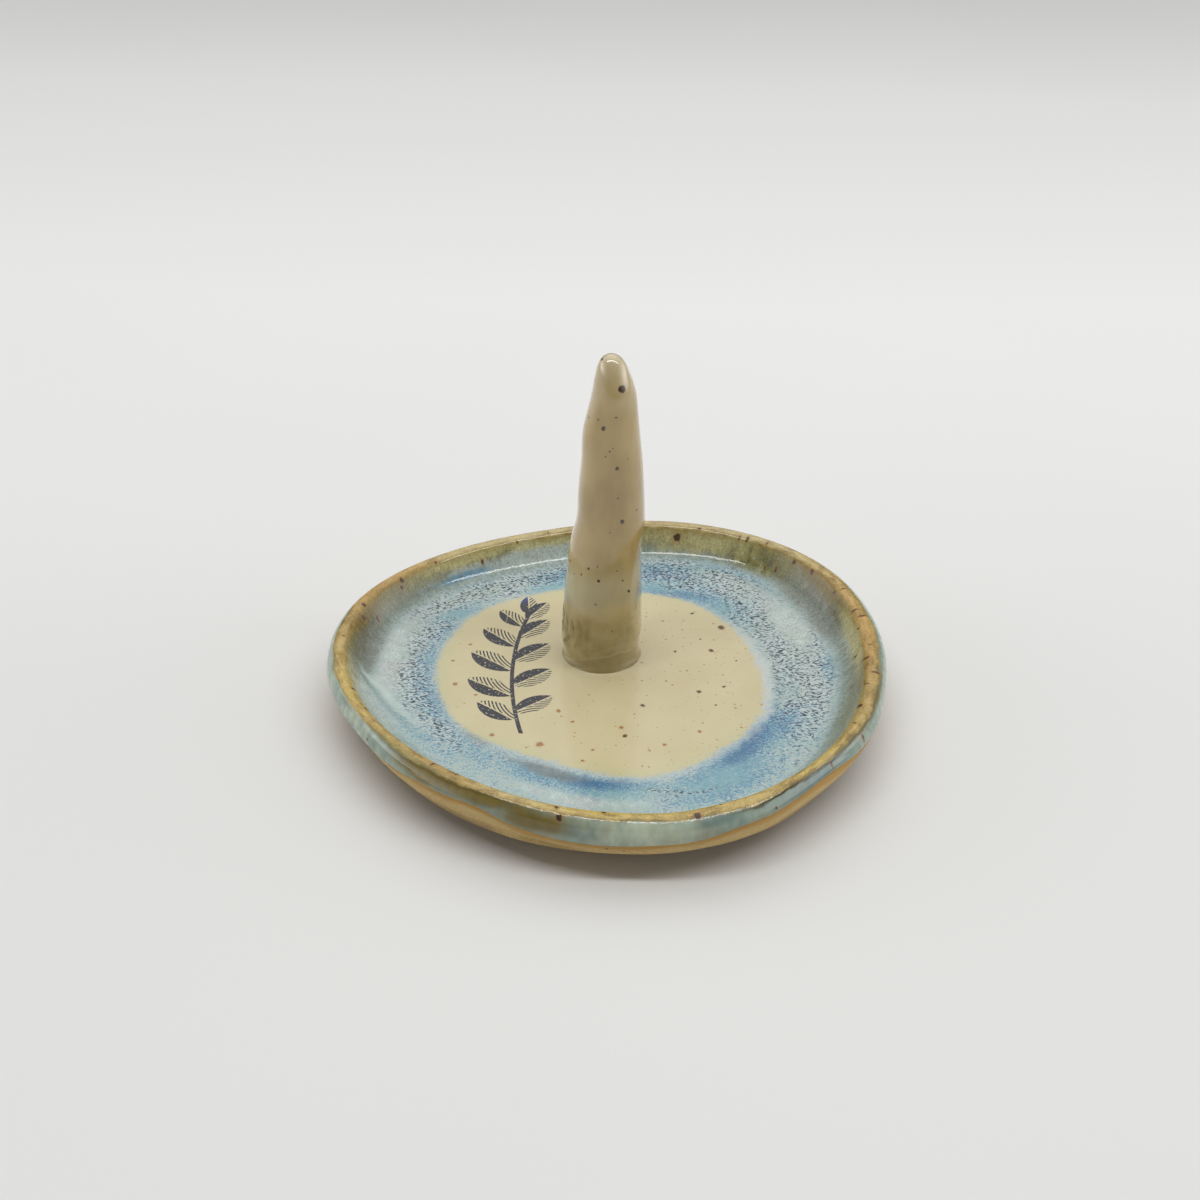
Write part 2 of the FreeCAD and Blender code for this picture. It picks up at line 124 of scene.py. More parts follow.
def skin(name, rows, fields=None, loop=False, firstPole=None, lastPole=None):
    # a closed surface over rows of points that each go once round, in mm
    rowCount, columnCount = rows.shape[:2]
    index = np.arange(rowCount * columnCount).reshape(rowCount, columnCount)
    above = np.roll(index, -1, axis=0)
    quads = np.stack([index, np.roll(index, -1, axis=1), np.roll(above, -1, axis=1), above], axis=-1)
    if not loop:
        quads = quads[:-1]
    faces = quads.reshape(-1, 4).tolist()
    points = rows.reshape(-1, 3).tolist()
    layers = {}
    for key, values in (fields or {}).items():
        layers[key] = list(values.reshape(rowCount * columnCount, -1))
    for pole, edge in ((firstPole, index[0]), (lastPole, index[-1])):
        if pole is None:
            continue
        tip = len(points)
        points.append(list(pole))
        faces += [[int(a), int(b), tip] for a, b in zip(edge, np.roll(edge, -1))]
        for values in layers.values():
            values.append(values[edge[0]])
    mesh = bpy.data.meshes.new(name)
    mesh.from_pydata((np.array(points) * millimetre).tolist(), [], faces)
    for key, values in layers.items():
        values = np.array(values, np.float32)
        wide = values.shape[1] == 3
        layer = mesh.attributes.new(key, "FLOAT_VECTOR" if wide else "FLOAT", "POINT")
        layer.data.foreach_set("vector" if wide else "value", values.ravel())
    shell = bmesh.new()
    shell.from_mesh(mesh)
    bmesh.ops.recalc_face_normals(shell, faces=shell.faces)
    shell.to_mesh(mesh)
    shell.free()
    mesh.shade_smooth()
    mesh.set_sharp_from_angle(angle=math.radians(sharpAngle))
    return addObject(name, mesh)


def finishPiece(piece, material, node):
    piece.data.materials.append(material)
    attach(piece, "root")
    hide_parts(node)
    print("made", piece.name, len(piece.data.polygons), "faces")


# a node's output, to reckon with as if it were a number
class Value:
    def __init__(self, recipe, socket):
        self.recipe = recipe
        self.socket = socket

    def __add__(self, other):
        return self.recipe.math("ADD", self, other)

    def __sub__(self, other):
        return self.recipe.math("SUBTRACT", self, other)

    def __rsub__(self, other):
        return self.recipe.math("SUBTRACT", other, self)

    def __mul__(self, other):
        return self.recipe.math("MULTIPLY", self, other)

    def __abs__(self):
        return self.recipe.math("ABSOLUTE", self)


# node writing: what goes into a node is a number, the name of a colour or another node's value
class Recipe:
    def __init__(self, owner, colours=None):
        owner.use_nodes = True
        self.owner = owner
        self.colours = colours or {}
        self.nodes = owner.node_tree.nodes
        self.links = owner.node_tree.links
        self.surface = self.nodes.get("Principled BSDF") or self.nodes["Background"]

    def join(self, node, inputs):
        for key, value in inputs.items():
            if isinstance(value, Value):
                self.links.new(value.socket, node.inputs[key])
            elif isinstance(value, str):
                node.inputs[key].default_value = self.colours[value]
            else:
                node.inputs[key].default_value = value

    def put(self, kind, inputs, output=0, **settings):
        node = self.nodes.new("ShaderNode" + kind)
        for key, value in settings.items():
            setattr(node, key, value)
        self.join(node, inputs)
        return Value(self, node.outputs[output])

    def field(self, name, output="Fac"):
        return self.put("Attribute", {}, output, attribute_name=name)

    def inMillimetres(self):
        point = self.put("TexCoord", {}, "Object")
        return self.put("VectorMath", {0: point, "Scale": 1 / millimetre}, operation="SCALE")

    def math(self, operation, first, second=0.0):
        return self.put("Math", {0: first, 1: second}, operation=operation)

    def least(self, first, second):
        return self.math("MINIMUM", first, second)

    def most(self, first, second):
        return self.math("MAXIMUM", first, second)

    def moved(self, point, by):
        return self.put("VectorMath", {0: point, 1: by}, operation="ADD")

    def scaled(self, point, across, up):
        return self.put("VectorMath", {0: point, 1: (across, across, up)}, operation="MULTIPLY")

    def distance(self, point, place):
        return self.put("VectorMath", {0: point, 1: place}, "Value", operation="DISTANCE")

    def split(self, vector):
        first = self.put("SeparateXYZ", {0: vector})
        return [Value(self, output) for output in first.socket.node.outputs]

    def ramp(self, value, low, high):
        return self.put("MapRange", {0: value, 1: low, 2: high}, interpolation_type="SMOOTHSTEP")

    def noise(self, point, size, detail=2.0, roughness=0.5, distortion=0.0, output="Fac"):
        inputs = {"Vector": point, "Scale": 1 / size, "Detail": detail}
        inputs.update({"Roughness": roughness, "Distortion": distortion})
        return self.put("TexNoise", inputs, output)

    def sway(self, point, size, strength=1.0, **more):
        # noise about zero
        return (self.noise(point, size, **more) - 0.5) * strength

    def combed(self, point, size, stretch, turn):
        # noise about zero, drawn out into strokes along a direction
        inputs = {"Vector": point, "Rotation": (0, 0, math.radians(turn)), "Scale": (stretch, 1, 1)}
        turned = self.put("Mapping", inputs, vector_type="TEXTURE")
        return self.sway(turned, size, detail=1.5, distortion=0.6)

    def shaken(self, point, across, up):
        # a point pushed about by fine noise, by half of this on average
        return self.moved(point, self.scaled(self.noise(point, 0.8, output="Color"), across, up))

    def between(self, share, first, second):
        return first + share * (second - first)

    def mottle(self, colour, value):
        # darkens and lightens a colour by a value about zero
        return self.put("HueSaturation", {"Color": colour, "Value": value + 1.0})

    def mix(self, share, under, over):
        return self.put("Mix", {0: share, 6: under, 7: over}, 2, data_type="RGBA")

    def layers(self, colour, *coats):
        # coats of (share, colour) over one another, the last on top
        for share, coat in coats:
            colour = self.mix(share, colour, coat)
        return colour

    def shades(self, value, stops):
        # a run of colours along a value
        colour = self.put("ValToRGB", {0: value})
        elements = colour.socket.node.color_ramp.elements
        while len(elements) < len(stops):
            elements.new(0.5)
        for element, (place, tone) in zip(elements, stops):
            element.position = place
            element.color = self.colours.get(tone, tone)
        return colour

    def specks(self, point, cell, largest, share):
        # scattered round specks up to a largest radius, in a share of the cells
        away = self.put("TexVoronoi", {"Vector": point, "Scale": 1 / cell}, "Distance")
        chance, size = self.split(Value(self, away.socket.node.outputs["Color"]))[:2]
        radius = size * (largest / cell) * self.math("LESS_THAN", chance, share)
        return self.ramp(radius - away, 0.0, 0.04)

    def nearness(self, point, places):
        # to the nearest of (x, y, z, radius): 1 in its middle, 0 at its edge
        total = -9.0
        for x, y, z, radius in places:
            total = self.most(1.0 - self.distance(point, (x, y, z)) * (1 / radius), total)
        return total

    def bump(self, height, strength, depth):
        inputs = {"Height": height, "Strength": strength, "Distance": depth * millimetre}
        self.join(self.surface, {"Normal": self.put("Bump", inputs)})


def paint(*channels):
    # a screen colour, 0 to 255, as the linear one that a shader takes
    linear = []
    for channel in channels:
        share = channel / 255
        linear.append(share / 12.92 if share <= 0.04045 else ((share + 0.055) / 1.055) ** 2.4)
    return (*linear, 1.0)


def palette(**colours):
    return {name: paint(*channels) for name, channels in colours.items()}


# the dish: its outline, section and glaze lines, mm and degrees
dish = {
    "columns": 540,
    "bandRows": 33,  # rows of points across the flat of the blue ring, on top and underneath
    "underRows": 7,
    "floorRows": 40,  # and across the cream floor
    "clayRows": 10,
    "clayStart": -1.2,  # share of the blue ring's width at which the clay's rows start
    "meanRadius": 47.44,
    "outlineWaves": [(1, 0.25, -92), (2, 0.78, 65), (3, 1.94, 152), (4, 0.26, -123)],
    "floorHeight": 6.2,  # top of the glaze
    "floorWaves": [(0.31, 0.17, 0.035, 20), (-0.22, 0.36, 0.03, 75), (0.12, -0.5, 0.02, 140)],
    "rippleEnd": (-0.01, 3),  # mm past the floor's end between which those waves die out
    "lipHeight": 10.3,
    "lipRadius": 1.7,
    "wallSlope": 58,
    "sweepInset": 7.12,
    "sweepRadius": 4.6,
    "faceInset": 0.22,
    "faceHeight": 9.53,
    "faceRadius": 2.5,
    "flankTurn": -26,  # where the round of the face ends and the straight flank starts
    "liftWaves": [(2, 0.12, 40), (5, 0.1, 100), (9, 0.05, 20)],
    "lift": [  # how much higher the rim stands, by direction
        (0, 0.15), (40, 0), (140, 0), (205, 0), (225, 0.05), (242, 0.3), (259, 0.56), (267, 0.66), (274, 0.6),
        (282, 0.4), (290, 0.7), (298, 0.75), (306, 0.95), (314, 0.95), (326, 0.8), (342, 0.5),
    ],
    "liftReach": -2,  # mm out from the rim line from which the wall has the full lift
    "swellFacing": 0.9,  # how squarely the face looks outwards where it swells in full
    "faceWaves": [(1, 0.25, 0), (4, 0.12, 60), (7, 0.1, 150), (11, 0.04, 10)],
    "faceDents": [(313, 13, 0.9), (206, 12, 0.4), (0, 18, -0.35)],  # direction, half spread, depth
    "coat": 0.4,
    "bead": (0.14, 0.55, 0.45),  # the coat's thicker end: rise, mm from the end, half width
    "coatEnd": (0.2, 0.25),  # how far the very end is rounded in, and over what length
    "bareSwell": 0.8,  # share of the coat's thickness that the clay has more where it is bare
    "bareFrom": (0.1, 1.0),  # mm below the coat's end between which it gets that thicker
    "ribWidth": 0.6,  # of the fine ribs along the lip
    "faceEnd": 5.5,  # height at which the clay's outer face turns under
    "underside": [  # mm out from the rim line, height
        (0.3, 5.1), (-0.05, 4.78), (-0.7, 4.55), (-3, 3.5), (-6, 2.25), (-9, 1), (-10.9, 0.12), (-11.7, 0),
    ],
    "unevenFrom": (0.2, 4.5),  # heights between which the underside gets as uneven as the edge
    "edgeWaves": [(3, 0.18, 40), (6, 0.22, 110), (8, 0.15, 250), (13, 0.08, 30)],
    "edgeHang": (0.6, 0.7),  # how much of those waves is up and down, and how far they are turned
    "edgeDrops": [(236, 12, 0.9)],  # where the bare edge hangs lower
    "creamReach": [  # from the rim line to the cream's edge
        (0, 19.4), (20, 21.2), (35, 22.2), (60, 20.9), (78, 19.0), (100, 14.4), (118, 13.8), (140, 14.4),
        (160, 16.7), (195, 16.7), (210, 15.8), (232, 16.9), (250, 18.4), (275, 17.6), (312, 19.1), (338, 18),
    ],
    "glazeLine": [  # height at which the coat stops on the outer face
        (0, 8.4), (30, 8.8), (60, 8.3), (95, 8.9), (130, 8.4), (165, 8.8), (195, 8.6), (212, 8.4), (220, 8.5),
        (228, 9.2), (236, 9.3), (244, 9.5), (252, 7.8), (260, 7.2), (268, 7.3), (276, 7.8), (284, 8.1),
        (292, 9.2), (300, 9.4), (308, 9.7), (316, 9.9), (324, 9.5), (332, 9.4), (345, 8.6),
    ],
}

around = np.linspace(0, 2 * math.pi, dish["columns"], endpoint=False)
faceTurn = math.degrees(math.atan2(dish["lipHeight"] - dish["faceHeight"], dish["faceInset"]))
glazeEnd = byDirection(around, dish["glazeLine"])


def rimRadius(theta):
    return dish["meanRadius"] + waves(theta, dish["outlineWaves"])


def creamRadius(theta):
    return rimRadius(theta) - byDirection(theta, dish["creamReach"])


def floorRipple(x, y):
    total = 0 * x
    for alongX, alongY, height, phase in dish["floorWaves"]:
        total = total + height * np.cos(alongX * x + alongY * y - math.radians(phase))
    return total


def arcRun(inset, height, radius, turn, hollow=False):
    # rows of (offset from the rim line, height, facing outwards, facing up)
    across = np.cos(np.radians(turn))
    up = np.sin(np.radians(turn))
    side = -1 if hollow else 1
    return np.stack([radius * across - inset, radius * up + height, side * across, side * up], axis=-1)


def faceRun(endHeight, count):
    # down the rounded outer face and its straight flank to a height
    radius = dish["faceRadius"]
    top = math.radians(faceTurn)
    low = math.radians(dish["flankTurn"])
    roundLength = radius * (top - low)
    flankTop = dish["faceHeight"] + radius * math.sin(low)
    turnThere = np.arcsin(np.clip((endHeight - dish["faceHeight"]) / radius, -1, 1))
    onFlank = roundLength + (flankTop - endHeight) / math.cos(low)
    length = np.where(endHeight > flankTop, radius * (top - turnThere), onFlank)
    way = np.linspace(0 * length, length, count)
    turn = top - np.minimum(way, roundLength) / radius
    slide = np.maximum(way - roundLength, 0)
    offset = radius * np.cos(turn) - dish["faceInset"] + slide * math.sin(low)
    height = radius * np.sin(turn) + dish["faceHeight"] - slide * math.cos(low)
    return np.stack([offset, height, np.cos(turn), np.sin(turn)], axis=-1)


def rimSection(endHeight, fineness):
    # from the floor's end up the wall, over the lip and down the outer face
    slope = dish["wallSlope"]

    def turns(start, end, count):
        return np.linspace(start + 0 * endHeight, end + 0 * endHeight, count)

    sweepHeight = dish["floorHeight"] + dish["sweepRadius"]
    sweepTurns = turns(-90, slope - 90, 9 * fineness)
    sweep = arcRun(dish["sweepInset"], sweepHeight, dish["sweepRadius"], sweepTurns, hollow=True)
    lip = arcRun(0, dish["lipHeight"], dish["lipRadius"], turns(90 + slope, 90, 5 * fineness))
    brow = arcRun(0, dish["lipHeight"], dish["lipRadius"], turns(90, faceTurn, 5 * fineness))
    face = faceRun(endHeight, 9 * fineness)
    wall = np.linspace(sweep[-1], lip[0], 5 * fineness)[1:-1]
    return np.concatenate([sweep, wall, lip, brow[1:], face[1:]])


def alongSection(section):
    # distance from the crest along the surface, inwards positive
    steps = np.hypot(np.diff(section[..., 0], axis=0), np.diff(section[..., 1], axis=0))
    length = np.concatenate([np.zeros((1, section.shape[1])), np.cumsum(steps, axis=0)])
    crest = np.argmax(section[:, 0, 1])
    return length[crest] - length


def faceSwell(theta):
    return waves(theta, dish["faceWaves"]) + dented(theta, dish["faceDents"])


def shapedByHand(section):
    # the rim rises and falls, and the outer face swells unevenly
    risen = easeIn(section[..., 1], dish["floorHeight"], dish["lipHeight"] + dish["lipRadius"])
    inside = easeIn(section[..., 0], -dish["sweepInset"], dish["liftReach"])
    outside = easeIn(section[..., 2], 0, dish["swellFacing"])
    shaped = section.copy()
    lift = waves(around, dish["liftWaves"]) + byDirection(around, dish["lift"])
    shaped[..., 1] += lift * risen * inside
    shaped[..., 0] += faceSwell(around) * outside
    return shaped


def onRing(radius, height, flat=1.0):
    # points in every direction, with the floor's ripples as far as it is flat
    x = radius * np.cos(around)
    y = radius * np.sin(around)
    return np.stack([x, y, height + flat * floorRipple(x, y)], axis=-1)


def roundTheRim(section, depth=0.0):
    section = shapedByHand(section)
    radius = rimRadius(around) + section[..., 0] - depth * section[..., 2]
    start, end = dish["rippleEnd"]
    flat = 1 - easeIn(section[..., 0], start - dish["sweepInset"], end - dish["sweepInset"])
    return onRing(radius, section[..., 1] - depth * section[..., 3], flat)


def floorBand(share, depth=0.0):
    # flat rows from the cream's edge, share 0, to the floor's end, share 1
    inner = creamRadius(around)
    outer = rimRadius(around) - dish["sweepInset"]
    return onRing(inner + (outer - inner) * share[:, None], dish["floorHeight"] - depth)


insideLength = alongSection(rimSection(glazeEnd, 2))[0, 0]  # crest to the floor's end


def bandFromCrest(share):
    reach = rimRadius(around) - dish["sweepInset"] - creamRadius(around)
    return insideLength + (1 - share[:, None]) * reach


# where the glaze's colours lie, as patches: (direction, mm in from the crest,
# half spread in degrees, half spread in mm, strength)
glazePatches = {
    "blue": [
        (313, 18.6, 14, 2.4, 1.2), (324, 18.6, 10, 2.8, 1.05), (303, 16.4, 18, 3.4, 0.75),
        (300, 13.2, 20, 2.6, 0.6), (263, 17.4, 13, 1.9, 1.2), (262, 16, 18, 3.2, 0.6), (246, 17, 12, 3, 0.65),
        (222, 16, 18, 3.6, 0.4), (212, 11.4, 18, 2.2, 0.3), (333, 16, 10, 3.4, 0.8), (332, 17, 10, 3.2, 0.75),
        (272, 18.4, 9, 1.4, 0.9), (196, 17.2, 16, 2.6, 0.65), (178, 17.8, 14, 2, 0.55),
        (160, 17, 10, 2.2, 0.5), (148, 15, 8, 2, 0.6), (112, 14.8, 9, 2.2, 0.6), (110, 11.5, 8, 3, 0.75),
        (133, 6.9, 7, 1.6, 0.9),
        (66, 20.2, 16, 3.4, 1.1), (74, 14, 9, 4.8, 1), (60, 8.4, 16, 1.8, 0.6), (46, 20.8, 10, 3, 0.8),
        (5, 18.2, 12, 3.2, 0.15), (347, 17.4, 13, 2.6, 0.2), (4, 9.4, 7, 1.6, 0.6), (335, 12, 14, 3, 0.3),
    ],
    "turquoise": [
        (44, 20.6, 9, 3, 0.9), (70, 18.6, 11, 2.4, 1), (68, 11, 10, 2, 0.6), (268, 15.6, 10, 1.6, 0.6),
        (112, 15, 9, 1.9, 0.9), (300, 15.6, 12, 2.6, 0.8), (148, 14.6, 8, 2.2, 0.8),
    ],
    "crackle": [
        (353, 12.3, 28, 3.6, 0.95), (37, 18.7, 14, 3.8, 1), (62, 14.6, 19, 5.6, 1), (128, 10.2, 26, 4, 1),
        (10, 16.2, 16, 4.2, 1), (345, 15.5, 10, 3, 0.7), (74, 9, 10, 2.6, 0.8), (112, 6.8, 14, 2.4, 0.7),
        (162, 14.5, 11, 3, 0.95), (187, 15, 18, 2.9, 0.95), (212, 15, 12, 2.6, 0.6), (284, 15, 6, 2, 0.35),
    ],
    "pale": [
        (27, 13.6, 13, 3, 1), (42, 11.4, 9, 1.6, 0.4), (177, 11, 18, 2.8, 0.8), (166, 9.6, 14, 1.6, 0.7),
        (262, 12.8, 22, 2, 0.65), (8, 20.8, 12, 1.6, 0.6),
    ],
    "olive": [
        (52, 4.6, 11, 3.4, 0.9), (80, 2.6, 8, 1.6, 0.5), (150, 2.6, 14, 1.8, 0.6), (339, 4.4, 13, 2.4, 0.6),
        (31, 1.9, 9, 1.5, 1.5), (170, 1.9, 10, 1.4, 1.3),
    ],
    "milky": [
        (111, 4.6, 12, 2, 1.4), (130, 5.2, 12, 1.8, 0.7), (198, 6.4, 11, 3.6, 1.1), (12, 4.6, 9, 2, 0.6),
    ],
    "tan": [
        (9, 2.4, 13, 2.2, 1.1), (70, 3.2, 12, 2.8, 1.15), (110, 2, 14, 1.4, 1.15), (132, 2, 14, 1.5, 1.25),
        (191, 2.4, 9, 2, 0.75),
    ],
    "umber": [(30, 2.2, 9, 1.5, 1.2), (169, 2.2, 11, 1.3, 0.9), (350, 2, 9, 1.1, 0.7)],
    "wallBright": [(135, 5.7, 8, 0.9, 1)],
    "smudge": [(250, 18.2, 9, 1.3, 1.5), (236, 17.6, 5, 1, 0.6), (221, 18, 8, 1.2, 0.7)],
    "warmCrest": [(10, 0.4, 26, 1.8, 0.85), (155, 0.4, 18, 1.8, 0.9), (232, 0.4, 12, 1.4, 0.5)],
    "yellowCrest": [(200, 0.3, 14, 1.8, 0.9), (314, 0.2, 17, 1.6, 0.8), (270, 0.6, 28, 1.6, 0.9)],
    "paleCrest": [(62, 0.1, 30, 1.4, 1), (115, 0.1, 28, 1.4, 1), (250, 0.4, 10, 1.2, 0.7)],
    "dullCrest": [
        (338, 1.6, 24, 1.6, 0.8), (225, -0.9, 13, 0.9, 1.1), (165, 1, 16, 1.4, 0.5),
        (352, 0.2, 18, 1.4, 0.35),
    ],
    "smoke": [(29, 7.4, 13, 4, 1.35), (174, 5, 11, 4, 1.3), (339, 6, 13, 3, 0.5), (153, 5, 9, 2, 0.45)],
    "outsideOlive": [
        (255, -3, 9, 2, 1), (242, -1.9, 17, 1.3, 1.15), (231, -2, 9, 1.4, 1.3), (338, -1.4, 16, 0.7, 0.8),
        (294, -4, 14, 1.4, 0.4),
    ],
    "outsideMilk": [(276, -3.6, 9, 2.4, 1), (206, -2.6, 6, 1.6, 0.5)],
    "outsideDark": [
        (289, -2, 5, 1, 0.6), (312, -2.6, 14, 1.6, 0.65), (243, -4, 7, 2, 0.4), (243, -2.4, 6, 0.9, 0.8),
    ],
}
patchFade = 0.8  # how steeply a patch falls off from its middle

# by direction: how far the cream's edge is feathered and tinged, and how the lines, the smoke and the fold's
# painted shade and highlight show
glazeEdge = {
    "fuzz": [
        (0, 0.95), (25, 0.75), (45, 0.25), (80, 0.15), (120, 0.1), (170, 0.15), (215, 0.2), (240, 0.35),
        (260, 0.45), (300, 0.4), (325, 0.6), (345, 0.95),
    ],
    "halo": [
        (0, 0.1), (40, 0.15), (70, 0.8), (110, 0.6), (150, 0.25), (182, 0.9), (205, 0.3), (232, 1),
        (255, 0.6), (270, 0.9), (285, 0.8), (320, 0.5), (340, 0.15),
    ],
    "lipLine": [
        (0, 0.25), (20, 0), (60, 0), (200, 0), (228, 0.6), (248, 0.5), (262, 0), (288, 0), (298, 1), (318, 1),
        (330, 0.7), (345, 0.4),
    ],
    "smokeShows": [
        (0, 1), (120, 1), (176, 1), (181, 0.95), (186, 0.05), (190, 0), (210, 0), (250, 1), (300, 1),
    ],
    "foldShows": [
        (0, 0), (150, 0), (180, 0), (185, 1), (191, 1), (203, 0.8), (213, 0), (240, 0), (300, 0),
    ],
    "creaseShows": [
        (0, 1), (20, 1), (60, 1), (76, 0.8), (90, 0), (150, 0), (260, 0), (276, 0.1), (283, 1), (293, 1),
        (302, 0), (330, 0), (344, 1),
    ],
}

# lines, as (direction, mm in from the crest): a thin dark crease in the glaze, and the soft fold
# at the left, where the wall runs out into the floor, drawn as painted shade with a painted highlight beside
# it
glazeLines = {
    "creaseAway": [
        (0, 19.2), (25, 20.3), (50, 17.8), (75, 14.3), (100, 14), (180, 16), (260, 17), (281, 16.7),
        (295, 14), (310, 15), (325, 17), (340, 17.8),
    ],
    "foldAway": [
        (0, 9), (120, 9), (176, 3), (183, 4.6), (187, 7.2), (195, 9.2), (203, 10.2), (212, 11), (225, 11.5),
        (260, 10), (300, 9),
    ],
}


def patchStrength(theta, fromCrest, patches):
    total = 0 * fromCrest
    for direction, depth, spread, reach, strength in patches:
        off = apart(theta, direction, spread, fromCrest, depth, reach)
        total = np.maximum(total, strength * np.exp(-patchFade * off))
    return total


def glazeFields(theta, fromCrest, creamGap):
    theta = theta + 0 * fromCrest
    radius = dish["meanRadius"]
    fields = {
        "swirl": np.stack([radius * np.cos(theta), radius * np.sin(theta), fromCrest], axis=-1),
        "fromCrest": fromCrest,
        "creamGap": creamGap,
    }
    for name, patches in glazePatches.items():
        fields[name] = patchStrength(theta, fromCrest, patches)
    for name, marks in glazeEdge.items():
        fields[name] = byDirection(theta, marks)
    for name, marks in glazeLines.items():
        fields[name] = fromCrest - byDirection(theta, marks)
    return fields


# glaze over the rim, from the cream's edge to the glaze line outside
def makeGlazedRim():
    section = rimSection(glazeEnd, 2)
    under = rimSection(glazeEnd, 1)
    fromCrest = alongSection(section)
    toEnd = fromCrest - fromCrest[-1]
    rise, place, width = dish["bead"]
    tuck, tuckLength = dish["coatEnd"]
    depth = tuck * (1 - easeIn(toEnd, 0, tuckLength)) - rise * np.exp(-((toEnd - place) / width) ** 2)
    bandShare = np.linspace(0, 1, dish["bandRows"], endpoint=False)
    underShare = np.linspace(1, 0, dish["underRows"] + 1)[1:]
    rows = np.concatenate([
        floorBand(bandShare),
        roundTheRim(section, depth),
        roundTheRim(under[::-1], dish["coat"]),
        floorBand(underShare, dish["coat"]),
    ])
    allCrest = np.concatenate([
        bandFromCrest(bandShare),
        fromCrest,
        alongSection(under)[::-1],
        bandFromCrest(underShare),
    ])
    gap = np.hypot(rows[..., 0], rows[..., 1]) - creamRadius(around)
    return skin("glazedRim", rows, glazeFields(around, allCrest, gap), loop=True)


# clear glaze over the cream floor, from the slip round the post to the cream's edge
def makeGlazedFloor():
    footMiddle, footHalf = postSize(np.array([dish["floorHeight"]]))
    ring = np.stack([np.cos(around), np.sin(around)], axis=-1)
    footReach = footHalf[0] - post["footTuck"] + post["skirtReach"]
    hole = np.array([footMiddle[0], post["back"]]) + footReach * ring
    edge = creamRadius(around)[:, None] * ring
    top = np.linspace(0, 1, dish["floorRows"])
    under = top[::-4]
    share = np.concatenate([top, under])
    depth = np.concatenate([0 * top, 0 * under + dish["coat"]])
    flat = hole + (edge - hole) * share[:, None, None]
    x, y = flat[..., 0], flat[..., 1]
    rows = np.stack([x, y, dish["floorHeight"] - depth[:, None] + floorRipple(x, y)], axis=-1)
    theta = np.arctan2(y, x)
    radius = np.hypot(x, y)
    fromCrest = insideLength - dish["sweepInset"] + rimRadius(theta) - radius
    return skin("glazedFloor", rows, glazeFields(theta, fromCrest, radius - creamRadius(theta)), loop=True)


# bare clay of the dish, under the glaze and showing below it
def makeClayDish():
    coat = dish["coat"]
    section = rimSection(dish["faceEnd"] + 0 * around, 2)
    below = (glazeEnd - section[..., 1]) * (section[..., 2] > 0)
    depth = coat * (1 - dish["bareSwell"] * easeIn(below, *dish["bareFrom"]))
    bandShare = np.linspace(dish["clayStart"], 1, dish["clayRows"])[:-1]
    rows = [floorBand(bandShare, coat), roundTheRim(section, depth)]
    hangShare, hangTurn = dish["edgeHang"]
    hang = hangShare * waves(around + hangTurn, dish["edgeWaves"]) + dented(around, dish["edgeDrops"])
    nudge = waves(around, dish["edgeWaves"]) + faceSwell(around)
    for offset, height in dish["underside"]:
        uneven = easeIn(height, *dish["unevenFrom"])
        radius = rimRadius(around) + offset + nudge * uneven
        rows.append(onRing(radius, height + hang * uneven, flat=0.0)[None])
    rows = np.concatenate(rows)
    top = (0, 0, dish["floorHeight"] - coat)
    fields = {"belowGlaze": glazeEnd - rows[..., 2]}
    return skin("clayDish", rows, fields, firstPole=top, lastPole=(0, 0, 0))


# the post: stations as (height, middle across, half width) of the glazed surface
post = {
    "columns": 128,
    "outerRows": 130,  # rows of points up the coat's outside and inside, the clay, the skirt and the slip
    "innerRows": 26,
    "clayRows": 60,
    "skirtRows": 10,
    "slipRows": 9,
    "back": 6.8,
    "stations": [
        (5.6, -2.4, 7.3), (11, -2.36, 7.44), (19.6, -1.96, 7.32), (27.9, -1.76, 6.76), (31, -1.62, 6.43),
        (34, -1.27, 6.07), (39.9, -1.25, 5.77), (45.7, -1.23, 5.33), (51.4, -1.45, 4.88), (55, -1.29, 4.34),
        (58.8, -1.15, 3.69), (61.4, -1.36, 3.03), (63.3, -1.55, 2.37), (64.4, -1.65, 1.7), (65.2, -1.68, 0),
    ],
    "footLine": [  # turn from the front, height at which the post ends and the slip starts
        (20, 9.9), (60, 9.7), (100, 9.4), (180, 8.6), (260, 7.6), (300, 7.0), (335, 8.6),
    ],
    "dripLine": [  # height at which the milky coat ends over the clear one
        (0, 17.5), (28, 18.5), (50, 21), (68, 27), (85, 30), (120, 30), (180, 26), (250, 22), (300, 19),
        (330, 17.5),
    ],
    "milkTop": (25, 30),  # heights between which the milky coat thins out
    "milkAndLeftLight": (0.55, 0.45),  # how milky, and how much more so on the left, where the extra is painted light on the left flank
    "footTuck": 0.5,
    "tuckRise": (-0.2, 3.0),  # mm above the slip between which the tuck ends
    "skirtReach": 0.45,
    "skirtHeight": 1.8,
    "skirtCurve": 2.2,
    "slipTop": 0.8,  # share of the skirt's height that the slip reaches
    "dents": [(-72, 56, 26, 3, 0.2), (15, 44, 30, 7, 0.12), (200, 36, 40, 12, 0.2)],
    "thumbPress": (84, 22, 46, 12, 0.8),
    "coat": 0.4,
    "thinnest": 0.02,
}
postTip = post["stations"][-1][0]
postTurns = np.linspace(0, 2 * math.pi, post["columns"], endpoint=False)


def postSize(height):
    # the half width is squared between stations, so that the tip comes out round
    at, middle, half = np.array(post["stations"]).T
    squared = smoothThrough(height, at, half ** 2)
    return smoothThrough(height, at, middle), np.sqrt(np.maximum(squared, 0))


